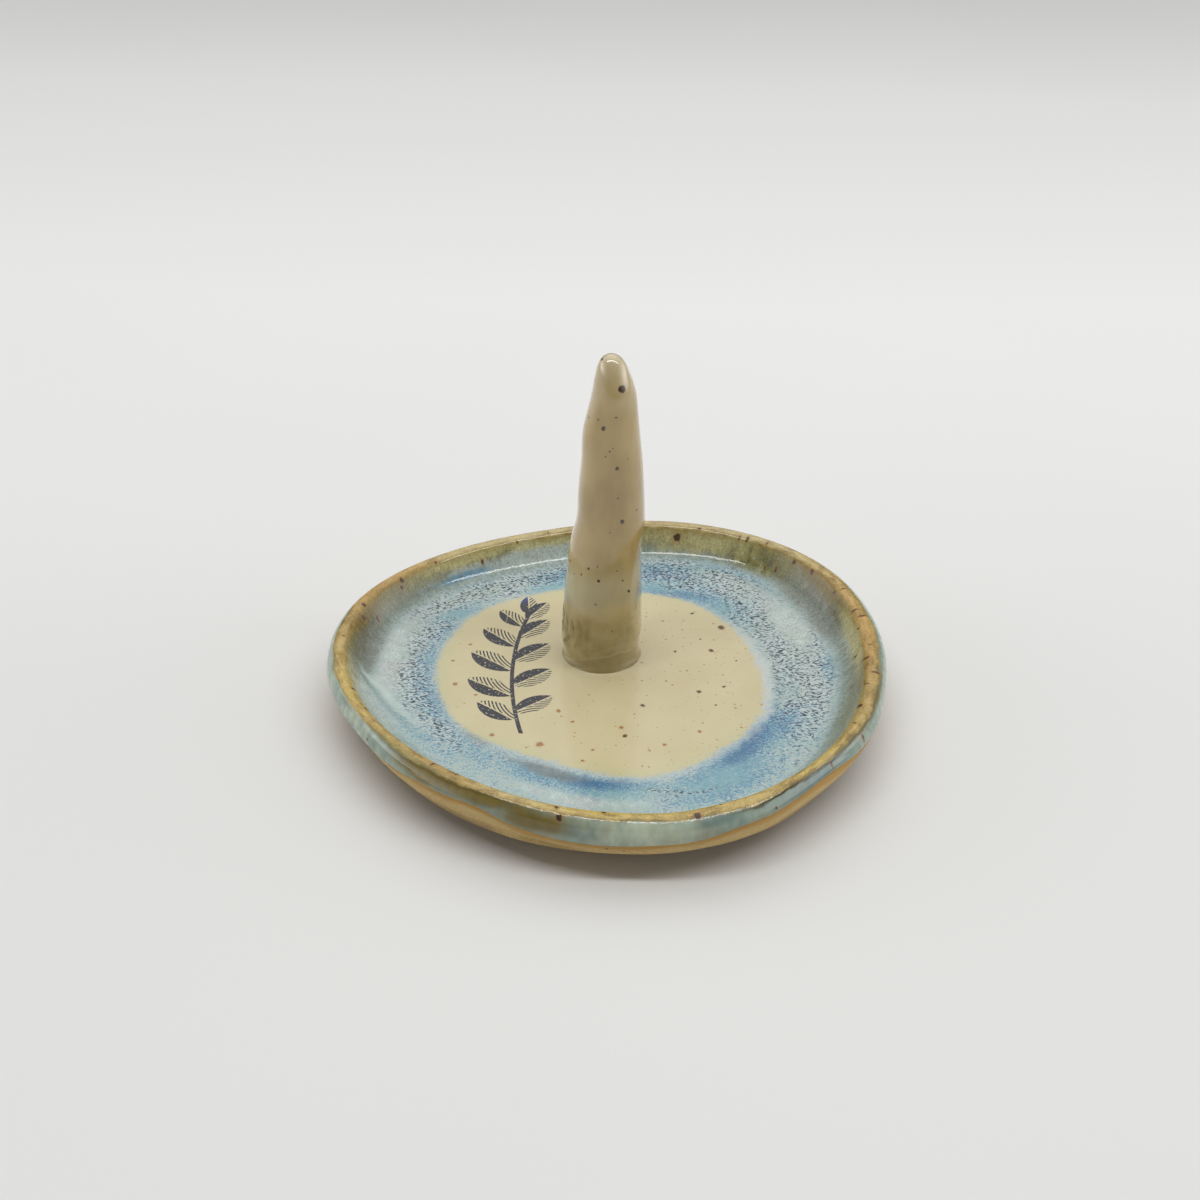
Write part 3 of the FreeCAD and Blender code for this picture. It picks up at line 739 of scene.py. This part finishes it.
def postRows(heights, depth=0.0, skirted=True):
    # turn 0 faces the front and 90 degrees the right
    middle, half = postSize(heights)
    up = heights[:, None]
    if skirted:
        skirt = np.clip(1 - (heights - dish["floorHeight"]) / post["skirtHeight"], 0, 1)
        half = half + post["skirtReach"] * skirt ** post["skirtCurve"]
    above = up - byDirection(postTurns, post["footLine"])
    half = half[:, None] - post["footTuck"] * (1 - easeIn(above, *post["tuckRise"]))
    for direction, height, spread, reach, strength in post["dents"]:
        half = half - strength * np.exp(-apart(postTurns, direction, spread, up, height, reach))
    direction, height, spread, reach, strength = post["thumbPress"]
    half = half - strength * np.clip(1 - apart(postTurns, direction, spread, up, height, reach), 0, 1)
    half = np.maximum(half - depth, post["thinnest"])
    x = middle[:, None] + half * np.sin(postTurns)
    y = post["back"] - half * np.cos(postTurns)
    return np.stack([x, y, up + 0 * x], axis=-1)


def postHeights(low, high, count):
    # close together in the skirt and towards the tip
    skirtTop = dish["floorHeight"] + post["skirtHeight"]
    rise = np.sin(np.linspace(0, math.pi / 2, count))[1:-1]
    skirt = np.linspace(low, skirtTop, post["skirtRows"])
    return np.concatenate([skirt, skirtTop + (high - skirtTop) * rise])


def onPost(height, turn):
    middle, half = postSize(np.array([height]))
    angle = math.radians(turn)
    return (middle[0] + half[0] * math.sin(angle), post["back"] - half[0] * math.cos(angle), height)


def makeGlazedPost():
    coat = post["coat"]
    outer = postRows(postHeights(dish["floorHeight"], postTip, post["outerRows"]))[::-1]
    inner = postRows(postHeights(dish["floorHeight"] - coat, postTip - coat, post["innerRows"]), coat)
    tip = onPost(postTip, 0)
    rows = np.concatenate([outer, inner])
    height = rows[..., 2]
    milk, leftLight = post["milkAndLeftLight"]
    fields = {
        "aboveSlip": height - byDirection(postTurns, post["footLine"]),
        "aboveDrip": height - byDirection(postTurns, post["dripLine"]),
        # the milky coat, whose extra share on the left flank is painted light
        "milk": (1 - easeIn(height, *post["milkTop"])) * (milk - leftLight * np.sin(postTurns)),
    }
    return skin("glazedPost", rows, fields, firstPole=tip, lastPole=(tip[0], tip[1], postTip - coat))


def makeClayPost():
    coat = post["coat"]
    base = dish["floorHeight"] - coat
    rows = postRows(postHeights(base, postTip - coat, post["clayRows"]), coat, skirted=False)
    tip = onPost(postTip, 0)
    foot = (onPost(base, 0)[0], post["back"], base)
    return skin("clayPost", rows, firstPole=foot, lastPole=(tip[0], tip[1], postTip - coat))


def makeSlipRing():
    coat = post["coat"]
    floor = dish["floorHeight"]
    heights = np.linspace(floor - coat, floor + post["slipTop"] * post["skirtHeight"], post["slipRows"])
    rows = np.concatenate([postRows(heights, coat), postRows(heights[::-1], coat, skirted=False)])
    return skin("slipRing", rows, loop=True)


# colours of the tray's glaze, with the fold's painted shade
trayColours = palette(
    cream=(206, 195, 157),
    creamWarm=(197, 183, 142),
    haloGreen=(190, 190, 148),
    white=(200, 204, 200),
    mint=(168, 184, 176),
    mintWhite=(188, 202, 194),
    lilac=(180, 188, 185),
    turquoise=(130, 172, 176),
    paleBlue=(148, 174, 178),
    cerulean=(118, 158, 174),
    midBlue=(98, 140, 164),
    deepBlue=(76, 114, 148),
    crackle=(58, 63, 72),
    crackleGap=(200, 207, 206),
    smudge=(116, 124, 120),
    wallOlive=(142, 132, 88),
    wallGrey=(138, 141, 121),
    wallBlue=(148, 166, 162),
    milk=(178, 189, 182),
    tan=(186, 178, 126),
    umber=(124, 104, 56),
    olive=(138, 132, 72),
    oliveDark=(106, 100, 54),
    smoke=(110, 104, 82),
    smokeBlue=(124, 130, 120),
    fold=(118, 140, 136),
    ochreDark=(132, 108, 58),
    ochre=(164, 138, 78),
    ochreLight=(192, 168, 108),
    warmCrest=(190, 148, 80),
    yellowCrest=(198, 176, 100),
    paleCrest=(196, 184, 138),
    dullCrest=(138, 130, 74),
    lipLine=(80, 68, 34),
    outside=(136, 154, 142),
    outsidePale=(168, 181, 163),
    outsideMilk=(184, 194, 172),
    outsideDark=(80, 106, 110),
    outsideOlive=(118, 103, 52),
    rust=(158, 108, 54),
    brown=(74, 48, 30),
    iron=(40, 30, 28),
    ink=(28, 32, 48),
    inkBlue=(34, 52, 128),
)

# iron on the lip, as dashes and as round spots: (direction, mm in from the crest, radius)
lipDashes = [
    (59, 1.3, 0.3), (57, 1.1, 0.35), (52, 0.7, 0.25), (50, 5.5, 0.25), (47, 5.1, 0.35), (26, 0.2, 0.3),
    (17, 0.8, 0.35), (14, 0, 0.35), (2, 0.2, 0.2), (357, 1.2, 0.5), (2, 3.7, 0.35), (351, -0.5, 0.4),
    (351, 4.9, 0.35), (346, 0.7, 0.25), (328, -2.2, 0.3), (316, -2.1, 0.35), (117, 1.4, 0.25),
    (128, 3.9, 0.35), (168, 2.3, 0.4), (164, 4.7, 0.35), (178, 0.5, 0.25), (231, 0.3, 0.35), (237, 0.6, 0.25),
    (108, 0.6, 0.22), (140, 1.2, 0.25), (220, 1.6, 0.25),
]
lipSpots = [
    (74, 3.3, 0.95), (69, 1, 0.35), (43, 2.1, 0.5), (37, 1.9, 0.6), (27, 2, 0.4), (337, 0.9, 0.7),
    (324, 1.8, 0.3), (285, -0.7, 0.6), (165, 1, 0.5), (151, 1.6, 0.55), (152, 2.8, 0.4), (198, 1.2, 0.45),
    (206, 1.4, 0.55), (259, 0.2, 0.45), (260, -1.6, 0.6), (290, 0.8, 0.25), (268, 0.6, 0.35), (10, 1.5, 0.25),
    (330, 0.3, 0.3), (213, -3.4, 0.3), (247, -4.6, 0.4), (261, -6.2, 0.3), (300, -3, 0.25),
]

# iron specks on the floor: (x, y, radius), rusty on the left and darker on the right
floorSpecks = {
    "rust": [
        (-29.5, 2.9, 0.35), (-28.5, -4.5, 0.5), (-12.6, -22.2, 0.7), (-20.9, -19.6, 0.5), (-3.6, -23.3, 0.35),
        (-9.8, -12.2, 0.4), (1.2, -16.9, 0.4), (-5.2, -26.4, 0.35), (-24.5, -7.8, 0.3), (-7.2, -15.4, 0.35),
        (9.2, 17.9, 0.3), (14.7, -17.6, 0.4), (-26.8, 8.4, 0.35), (8.6, -21.5, 0.35),
    ],
    "brown": [
        (1.8, -19.2, 0.5), (5, -10.2, 0.5), (15.1, -5.6, 0.5), (14.9, 20.7, 0.4), (20.2, 15.8, 0.75),
        (17.9, 7.8, 0.5), (19.6, -3.9, 0.35), (17.9, -9.5, 0.3), (11.2, 7.3, 0.35), (25.5, 18.9, 0.45),
        (16.2, 11.5, 0.25), (22.4, 4.6, 0.25),
    ],
}

# a leafy sprig printed on the floor: leaves as (x, y, direction, length, half width)
sprigPrint = {
    "stemCentre": (61.5, 1, 0),
    "stemRadius": 80,
    "stemHalf": 0.42,
    "stemEnds": (-19, 19),
    "leaves": [
        (-17.4, -15, 142, 8.5, 2.2), (-17.6, -13, 38, 8.5, 2.1), (-18.1, -8, 146, 10, 2.5),
        (-18.3, -5, 40, 9, 2.4), (-18.5, 0, 142, 10, 2.5), (-18.4, 3, 44, 9, 2.4), (-18.2, 8, 136, 9, 2.3),
        (-17.9, 11, 50, 8.5, 2.2), (-17.3, 15, 128, 7.5, 1.9), (-16.8, 17.5, 58, 7.5, 1.9),
        (-16.3, 19, 94, 7, 1.7),
    ],
    "hatch": 0.62,  # mm between the veins
}


def sprigInk(r, flat):
    total = 0.0
    for x, y, direction, length, half in sprigPrint["leaves"]:
        turn = math.radians(direction)
        along = Vector((math.cos(turn), math.sin(turn), 0))
        side = Vector((-math.sin(turn), math.cos(turn), 0))
        root = Vector((x, y, 0))
        bow = (length ** 2 / 4 + half ** 2) / (2 * half)
        middle = root + along * length / 2
        toLeft = r.distance(flat, middle + side * (bow - half))
        toRight = r.distance(flat, middle - side * (bow - half))
        inside = r.ramp(r.most(toLeft, toRight), bow + 0.05, bow - 0.05)
        lean = toLeft - toRight
        rib = r.ramp(abs(lean), 0.16, 0.32)
        toVein = r.distance(flat, root - side * length)
        vein = r.math("SINE", toVein * (2 * math.pi / sprigPrint["hatch"]))
        hatched = r.most(r.ramp(vein, -0.1, 0.4), r.ramp(lean, 0.05, -0.05))
        total = r.most(inside * rib * hatched, total)
    off = abs(r.distance(flat, sprigPrint["stemCentre"]) - sprigPrint["stemRadius"])
    up = r.split(flat)[1]
    low, high = sprigPrint["stemEnds"]
    stem = r.ramp(off, sprigPrint["stemHalf"], sprigPrint["stemHalf"] - 0.1)
    stem = stem * r.ramp(up, low - 0.1, low) * r.ramp(up, high + 0.1, high)
    return r.most(stem, total)


def ringColour(r, swirl, flat):
    # milky mint running to a stippled blue, with patches of short dark crackle
    lean = r.ramp(r.noise(flat, 3.2), 0.42, 0.58)
    strokes = r.between(lean, r.combed(flat, 0.38, 2.2, -22), r.combed(flat, 0.38, 1.8, 24))
    stipple = r.sway(flat, 0.36, roughness=0.6)
    drift = r.sway(swirl, 1.8, detail=3.0)
    cloud = r.sway(swirl, 5.5, 1.8)
    pale = r.ramp(r.field("pale") + drift * 0.8, 0.15, 0.85)
    notPale = 1.0 - pale * 0.8
    depth = r.field("blue") + stipple * 2.6 + strokes * 1.5 + drift * 0.8 + cloud * 0.25
    depth = depth * notPale
    blues = [(0.0, "mint"), (0.22, "paleBlue"), (0.48, "cerulean"), (0.78, "midBlue"), (1.0, "deepBlue")]
    whitened = r.ramp(cloud, -0.25, 0.35) * r.ramp(depth, 0.45, 0.1)
    green = r.ramp(r.field("turquoise") + stipple * 1.5 + drift, 0.15, 0.9)
    paleTone = r.mix(r.ramp(cloud + drift, -0.3, 0.3), "mintWhite", "lilac")
    dots = r.specks(flat, 1.2, 0.3, 0.4) * r.ramp(depth, 0.25, 0.6)
    smudged = r.ramp(r.field("smudge") + drift + stipple, 0.15, 0.9)
    crackled = r.ramp(r.field("crackle") + drift * 1.3 + cloud * 0.5, 0.1, 0.75) * notPale
    dashes = r.ramp(strokes, 0.01, 0.08) * crackled * r.ramp(r.noise(flat, 1.3), 0.3, 0.5)
    wander = r.field("creaseAway") + (drift + stipple) * 2.2
    crease = r.ramp(abs(wander), 0.5, 0.1) * r.field("creaseShows")
    dashes = r.most(dashes, crease * r.ramp(strokes, -0.05, 0.05) * 0.8)
    colour = r.layers(
        r.shades(depth, blues),
        (whitened * 0.7, "lilac"),
        (green * 0.7, r.mottle("turquoise", stipple * 1.6)),
        (pale * 0.8, r.mottle(paleTone, (stipple + drift * 0.5) * 1.9)),
        (dots * 0.6, "deepBlue"),
        (smudged * 0.75, r.mottle("smudge", (stipple + drift) * 1.6)),
        (crackled * r.ramp(strokes, 0.03, -0.08) * 0.6, "crackleGap"),
        (dashes, "crackle"),
    )
    return colour, dashes


def wallColour(r, colour, swirl, fromCrest):
    # olive under the lip and blue below, with smoky, milky and tan runs, and at the left the fold as painted
    # shade with a painted highlight line
    streak = r.sway(r.scaled(swirl, 1, 0.4), 1.3)
    fine = r.sway(r.scaled(swirl, 1, 0.5), 0.42)
    grain = r.sway(swirl, 0.4, roughness=0.6)
    cloud = r.sway(swirl, 3.2, 1.4, detail=3.0)
    loose = streak * 0.45 + cloud * 0.7
    climb = fromCrest + loose * 2.6 + fine * 0.9

    def patch(name):
        return r.ramp(r.field(name) + loose, 0.1, 0.9)

    smoky = patch("smoke") * r.field("smokeShows")
    bright = r.ramp(r.field("wallBright") + loose + grain * 2.0, 0.2, 0.9)
    wall = r.layers(
        r.shades(climb * 0.1, [(0.15, "wallOlive"), (0.45, "wallGrey"), (0.8, "wallBlue")]),
        (r.ramp(r.field("milky") + loose * 1.2, 0.1, 0.8) * 0.9, "milk"),
        (smoky * 0.95, r.mix(r.ramp(climb, 3.5, 7.0), "smoke", "smokeBlue")),
        (patch("olive") * 0.9, r.mix(r.ramp(streak + cloud, -0.3, 0.35), "oliveDark", "olive")),
        (patch("tan") * 0.85, "tan"),
        (patch("umber") * 0.8, "umber"),
        (bright * 0.85, "midBlue"),
    )
    wall = r.mottle(wall, (grain + (fine + streak) * 0.4) * 1.3)
    away = r.field("foldAway") + cloud * 0.5
    shows = r.field("foldShows")
    return r.layers(
        colour,
        (r.ramp(climb - smoky * 1.2, 10.0, 6.5), wall),
        # painted shade along the fold, and a painted highlight on its ridge
        (r.ramp(abs(away), 1.0, 0.1) * shows * 0.5, "fold"),
        (r.ramp(abs(away - 1.7), 1.1, 0.2) * shows * 0.6, "mintWhite"),
    )


def outsideColour(r, swirl):
    cloud = r.sway(swirl, 4.0, 1.4, detail=3.0)
    small = r.sway(r.scaled(swirl, 1, 0.5), 1.3)
    loose = cloud * 0.7 + small * 0.4
    colour = r.layers(
        "outside",
        (r.ramp(loose, -0.3, 0.35), "outsidePale"),
        (r.ramp(r.field("outsideMilk") + loose, 0.1, 0.9), "outsideMilk"),
        (r.ramp(r.field("outsideDark") + loose, 0.05, 1.0), "outsideDark"),
        (r.ramp(r.field("outsideOlive") + loose, 0.05, 1.0), "outsideOlive"),
    )
    return r.mottle(colour, small * 0.7)


def crestColour(r, colour, swirl, fromCrest):
    # the glaze breaks to ochre over the lip, with rusty, yellow and olive stretches
    streak = r.sway(r.scaled(swirl, 1, 0.35), 0.8, detail=3.0)
    along = r.sway(r.scaled(swirl, 0.3, 1), 0.7, detail=3.0)
    cloud = r.sway(swirl, 5.0, 1.6, detail=3.0)
    grain = r.sway(swirl, 0.34, roughness=0.7)
    wander = fromCrest + cloud * 0.9
    inward = wander + streak * 1.4
    outward = wander + along * 0.4
    tone = cloud * 0.7 + along * 0.7 + grain * 0.35 + 0.5
    ochre = r.shades(tone, [(0.2, "ochreDark"), (0.45, "ochre"), (0.8, "ochreLight")])
    for name in ("warmCrest", "yellowCrest", "paleCrest", "dullCrest"):
        ochre = r.mix(r.ramp(r.field(name) + along + cloud * 0.4, 0.2, 1.0) * 0.6, ochre, name)
    rusty = r.ramp(grain + along, 0.1, 0.34) * r.ramp(cloud, -0.2, 0.3)
    edges = r.most(r.ramp(inward, 0.9, 2.2), r.ramp(outward, -0.6, -1.2))
    ochre = r.layers(ochre, (rusty * 0.45, "rust"), (edges * 0.4, "oliveDark"))
    ochre = r.mottle(ochre, grain + along * 0.6)
    line = r.ramp(outward, -1.8, -1.4) * r.ramp(outward, -0.95, -1.3) * r.field("lipLine")
    share = r.ramp(inward, 3.0, 0.6) * r.ramp(outward, -1.5, -0.9)
    return r.layers(colour, (share, ochre), (line * 0.85, "lipLine"))


def creamColour(r, flat, gap):
    cloud = r.sway(flat, 9.0, 1.2)
    halo = r.ramp(gap + cloud * 2.0, -4.5, -0.4) * r.field("halo")
    return r.layers("cream", (r.ramp(cloud, -0.3, 0.4) * 0.6, "creamWarm"), (halo * 0.5, "haloGreen"))


def floorMarks(r, colour, flat, gap):
    # iron specks, finer and closer on the right, and the printed sprig
    shake = 0.8
    wobble = r.shaken(flat, shake, 0)
    fineShare = r.ramp(r.split(flat)[0], -12, 14) * 0.45 + 0.12
    colour = r.layers(
        colour,
        (r.specks(flat, 0.8, 0.2, fineShare) * 0.45, "rust"),
        (r.specks(flat, 1.15, 0.3, fineShare) * 0.6, "rust"),
        (r.specks(wobble, 3.6, 0.45, 0.2) * 0.8, "rust"),
    )
    for tone, places in floorSpecks.items():
        near = r.nearness(wobble, [(x + shake / 2, y + shake / 2, 0, radius) for x, y, radius in places])
        halo = r.ramp(near, -0.5, 0.2) * 0.35
        colour = r.layers(colour, (halo, "rust"), (r.ramp(near, 0.0, 0.35) * 0.9, tone))
    ink = sprigInk(r, flat) * r.ramp(r.noise(flat, 0.45), 0.68, 0.62)
    return r.mix(ink * 0.97, colour, r.mix(r.ramp(gap, -3.0, -0.5), "ink", "inkBlue"))


def lipMarks(r, colour, swirl):
    # iron melted through on the lip: dashes drawn out down the slope, and round spots
    shake = 0.7
    radius = dish["meanRadius"]
    push = r.scaled(r.noise(swirl, 0.8, output="Color"), shake, shake)
    for places, squash, tone in ((lipDashes, 0.45, "brown"), (lipSpots, 0.9, "iron")):
        marks = []
        for direction, depth, size in places:
            angle = math.radians(direction)
            place = np.array([radius * math.cos(angle), radius * math.sin(angle), depth * squash]) + shake / 2
            marks.append((*place, size))
        near = r.nearness(r.moved(r.scaled(swirl, 1, squash), push), marks)
        halo = r.ramp(near, -0.9, 0.2) * 0.4
        colour = r.layers(colour, (halo, "rust"), (r.ramp(near, 0.0, 0.4) * 0.85, tone))
    return colour


def trayGlaze(name, onFloor):
    # one glaze: the rim's and the floor's share its ring and its feathered edge
    r = Recipe(bpy.data.materials.new(name), trayColours)
    swirl = r.field("swirl", "Vector")
    flat = r.scaled(r.inMillimetres(), 1, 0)
    fromCrest = r.field("fromCrest")
    gap = r.field("creamGap")
    colour, dashes = ringColour(r, swirl, flat)
    cream = creamColour(r, flat, gap)
    if onFloor:
        cream = floorMarks(r, cream, flat, gap)
    else:
        colour = wallColour(r, colour, swirl, fromCrest)
        colour = r.mix(r.ramp(fromCrest, -0.2, -1.2), colour, outsideColour(r, swirl))
        colour = lipMarks(r, crestColour(r, colour, swirl, fromCrest), swirl)
    feather = r.sway(flat, 0.5, 2.0, detail=3.0) + r.sway(flat, 1.8, 2.0)
    fuzz = r.field("fuzz")
    edge = gap + feather * (fuzz * 1.1 + 0.5)
    white = r.ramp(edge, 2.6, 0.6) * r.ramp(edge, -0.9, 0.3) * fuzz
    colour = r.layers(colour, (white * 0.8, "white"), (r.ramp(edge, 0.8, -0.7), cream))
    r.join(r.surface, {"Base Color": colour, "Roughness": r.noise(flat, 6.0) * 0.08 + 0.05})
    ribs = r.math("SINE", fromCrest * (2 * math.pi / dish["ribWidth"])) * r.ramp(fromCrest, 1.6, 0.2)
    lipEdge = r.ramp(fromCrest, -2.0, -1.2) * r.ramp(fromCrest, 0.0, -0.6)
    fine = r.noise(swirl, 0.5) * (lipEdge * 1.3 + 0.35) + ribs * 0.03
    r.bump(r.noise(swirl, 2.4) + fine - dashes * 0.1, 0.1, 0.35)
    return r.owner


# colours of the post's glaze with its painted light and shade, and its iron specks: (height, turn from the
# front, radius)
postColours = palette(
    tan=(186, 160, 102),
    tanDark=(168, 141, 86),
    clear=(154, 140, 90),
    clearLight=(178, 163, 116),
    milk=(206, 192, 150),
    tip=(206, 193, 158),
    slip=(150, 134, 88),
    pool=(196, 186, 150),
    fine=(150, 112, 66),
    brown=(112, 62, 22),
    dark=(58, 28, 8),
)
postSpecks = {
    "brown": [
        (54.9, -34, 0.26), (55.6, 7, 0.28), (49.7, -3, 0.25), (48.7, -11, 0.25), (50.2, 3, 0.2),
        (48.1, 32, 0.22), (41.1, 12, 0.27), (38.1, 49, 0.26), (25.9, -39, 0.25), (28.1, -15, 0.23),
        (25.2, -54, 0.2), (27.4, 15, 0.22), (25.4, 24, 0.3), (29.7, 66, 0.3), (20.8, -14, 0.26),
        (14.6, -46, 0.25), (10.4, 0, 0.28), (10.5, 35, 0.26), (34.7, -1, 0.22), (15.4, 12, 0.22),
        (37.8, -56, 0.2), (40, 150, 0.45), (52, 190, 0.35), (31, 215, 0.4), (22, 165, 0.35), (17, 240, 0.4),
        (46, 120, 0.3), (57, 135, 0.3), (35, 265, 0.35), (14, 110, 0.35),
    ],
    "dark": [
        (60.2, 24, 0.85), (53.6, -19, 0.48), (46.6, 10, 0.45), (36.7, 19, 0.5), (25.4, -11, 0.4),
        (22.9, 35, 0.38), (64.4, -70, 0.35), (54.5, -68, 0.35), (26.8, -71, 0.4), (10.9, 24, 0.36),
        (8.4, -6, 0.45), (27.4, -28, 0.27),
    ],
}


def postGlaze():
    # a milky coat over a clear one, a tip paled as painted light, and round the foot the slip, darker partly
    # as painted shade, with a painted highlight line along it
    r = Recipe(bpy.data.materials.new("postGlaze"), postColours)
    point = r.inMillimetres()
    height = r.split(point)[2] + r.sway(point, 5.0, 6.0)
    cloud = r.noise(r.scaled(point, 1, 0.5), 6.0, detail=3.0)
    drip = r.field("aboveDrip") + r.sway(point, 3.0, 2.0)
    above = r.field("aboveSlip") + r.sway(point, 2.0, 1.2)
    clear = r.mix(r.ramp(r.noise(point, 2.4, detail=3.0), 0.35, 0.65), "clear", "clearLight")
    colour = r.layers(
        "tan",
        (r.ramp(cloud, 0.35, 0.68), "tanDark"),
        # the milky coat, with painted light as its extra share on the left flank
        (r.field("milk") * r.ramp(drip, -2.2, 2.2), "milk"),
        (r.ramp(drip, 1.8, -3.6) * 0.8, clear),
        # paler towards the tip: painted light where the top faces the lamp
        (r.ramp(height, 54, 66) * 0.8, "tip"),
        # darker slip round the foot, partly painted shade in the hollow
        (r.ramp(above, 0.1, -0.6) * 0.6, "slip"),
        # a painted highlight along the foot's line
        (r.ramp(above, -0.3, 0.0) * r.ramp(above, 0.4, 0.05) * 0.35, "pool"),
        (r.specks(point, 2.2, 0.2, 0.22) * 0.5, "fine"),
    )
    shake = 0.5
    wobble = r.shaken(point, shake, shake)
    for tone, share in (("brown", 0.85), ("dark", 0.95)):
        places = []
        for up, turn, radius in postSpecks[tone]:
            places.append((*(np.array(onPost(up, turn)) + shake / 2), radius))
        colour = r.mix(r.ramp(r.nearness(wobble, places), 0.0, 0.4) * share, colour, tone)
    r.join(r.surface, {"Base Color": colour, "Roughness": r.noise(point, 5.0) * 0.12 + 0.1})
    r.join(r.surface, {"Coat Weight": 1.0, "Coat Roughness": 0.08, "Coat IOR": 1.6})
    r.bump(r.noise(point, 3.0), 0.15, 0.5)
    return r.owner


clayColours = palette(
    clay=(194, 165, 108),
    clayLight=(214, 186, 130),
    cloud=(204, 178, 122),
    flashed=(190, 148, 80),
    foot=(132, 104, 70),
    speck=(110, 72, 44),
    iron=(70, 46, 34),
)


def bareClay():
    # flashed orange along the glaze line, and darker towards the foot, partly as painted shade under the rim
    r = Recipe(bpy.data.materials.new("bareClay"), clayColours)
    point = r.inMillimetres()
    grain = r.noise(point, 0.5, detail=6.0, roughness=0.65)
    cloud = r.sway(point, 6.0, 1.6)
    below = r.field("belowGlaze") + cloud * 1.4
    colour = r.layers(
        "clay",
        (r.ramp(grain, 0.35, 0.68), "clayLight"),
        (r.ramp(cloud, -0.1, 0.4), "cloud"),
        (r.ramp(below, 1.7, 0.4) * 0.9, "flashed"),
        # darker towards the foot: partly painted shade, deepening the shadow under the rim
        (r.ramp(below, 3.0, 5.0) * 0.6, "foot"),
        (r.specks(point, 1.4, 0.26, 0.24) * 0.8, "speck"),
        (r.specks(point, 4.0, 0.5, 0.22) * 0.9, "iron"),
    )
    r.join(r.surface, {"Base Color": colour, "Roughness": 0.85})
    r.bump(grain, 0.5, 0.25)
    return r.owner


rimMaterial = trayGlaze("rimGlaze", onFloor=False)
floorMaterial = trayGlaze("floorGlaze", onFloor=True)
clayMaterial = bareClay()
postMaterial = postGlaze()
print("glazes mixed")

finishPiece(makeGlazedRim(), rimMaterial, "rim_glaze")
finishPiece(makeGlazedFloor(), floorMaterial, "floor_glaze")
finishPiece(makeClayDish(), clayMaterial, "dish_body")
finishPiece(makeGlazedPost(), postMaterial, "post_glaze")
finishPiece(makeClayPost(), clayMaterial, "ring_post")
finishPiece(makeSlipRing(), clayMaterial, "slip_joint")


# studio: a pale floor graded with painted light falloff, a tent with bright sides and an open front, and one
# long lamp overhead
studio = {
    "floorSize": 6.0,
    "floorStart": 0.2,  # metres in front of the dish from which the tones are measured
    "floorPaintedLight": [(0.08, 218), (0.2, 224), (0.4, 241), (0.65, 239), (0.88, 221)],  # metres back, grey: painted light falloff across the floor
    "floorWarmth": 2,
    "floorCloud": (150.0, 0.05),  # mm across, and how far the tones wander
    "floorRoughness": 0.9,
    "floorFade": (550.0, 1500.0),  # mm from the dish
    "horizon": 0.01,
    "overhead": 0.94,
    "tilt": 2.2,  # how much more light comes from behind than from the front
    "sides": 4.2,
    "sideFocus": 6.0,
    "sideClimb": 8.0,  # how fast the sides brighten above the floor, and fade higher up
    "sideFade": 1.6,
    "backdrop": 0.8,
    "stripPlace": (0.2, -0.21, 0.9),
    "stripSize": (1.6, 0.1),
    "stripPower": 5.3,
}


def addFloor():
    half = studio["floorSize"] / 2
    corners = [(-half, -half, 0), (half, -half, 0), (half, half, 0), (-half, half, 0)]
    mesh = bpy.data.meshes.new("studioFloor")
    mesh.from_pydata(corners, [], [(0, 1, 2, 3)])
    floor = addObject("studioFloor", mesh)
    r = Recipe(bpy.data.materials.new("studioFloor"))
    point = r.inMillimetres()
    back = r.split(point)[1] * millimetre + r.sway(point, *studio["floorCloud"]) + studio["floorStart"]
    # the greys paint in how the light falls off across the floor
    paintedFalloff = [(place, paint(grey, grey, grey - studio["floorWarmth"])) for place, grey in studio["floorPaintedLight"]]
    r.join(r.surface, {"Base Color": r.shades(back, paintedFalloff), "Roughness": studio["floorRoughness"]})
    # far off, the floor melts into the backdrop
    away = r.ramp(r.distance(point, (0, 0, 0)), *studio["floorFade"])
    glow = r.put("Emission", {"Strength": studio["backdrop"]})
    share = away * r.put("LightPath", {}, "Is Camera Ray")
    blend = r.put("MixShader", {0: share, 1: Value(r, r.surface.outputs[0]), 2: glow})
    r.join(r.nodes["Material Output"], {"Surface": blend})
    mesh.materials.append(r.owner)


def addLamp():
    data = bpy.data.lights.new("strip", "AREA")
    data.shape = "RECTANGLE"
    data.size, data.size_y = studio["stripSize"]
    data.energy = studio["stripPower"]
    addObject("strip", data).location = studio["stripPlace"]


def addTent():
    r = Recipe(bpy.data.worlds.new("softTent"))
    x, y, z = r.split(r.put("TexCoord", {}, "Generated"))
    above = r.most(z, 0.0)
    climb = r.least(above * studio["sideClimb"], 1.0)
    fade = r.most(1.0 - above * studio["sideFade"], 0.0)
    walls = r.math("POWER", abs(x), studio["sideFocus"]) * climb * fade * studio["sides"]
    tilted = r.most(y * studio["tilt"] + 1.0, 0.0)
    roof = above * above * tilted * studio["overhead"] + studio["horizon"]
    seen = r.put("LightPath", {}, "Is Camera Ray")
    strength = r.between(seen, walls + roof, studio["backdrop"])
    r.join(r.surface, {"Strength": strength, "Color": (1, 1, 1, 1)})
    bpy.context.scene.world = r.owner
    bpy.context.scene.view_settings.view_transform = "Standard"


addFloor()
addLamp()
addTent()
print("studio lit")
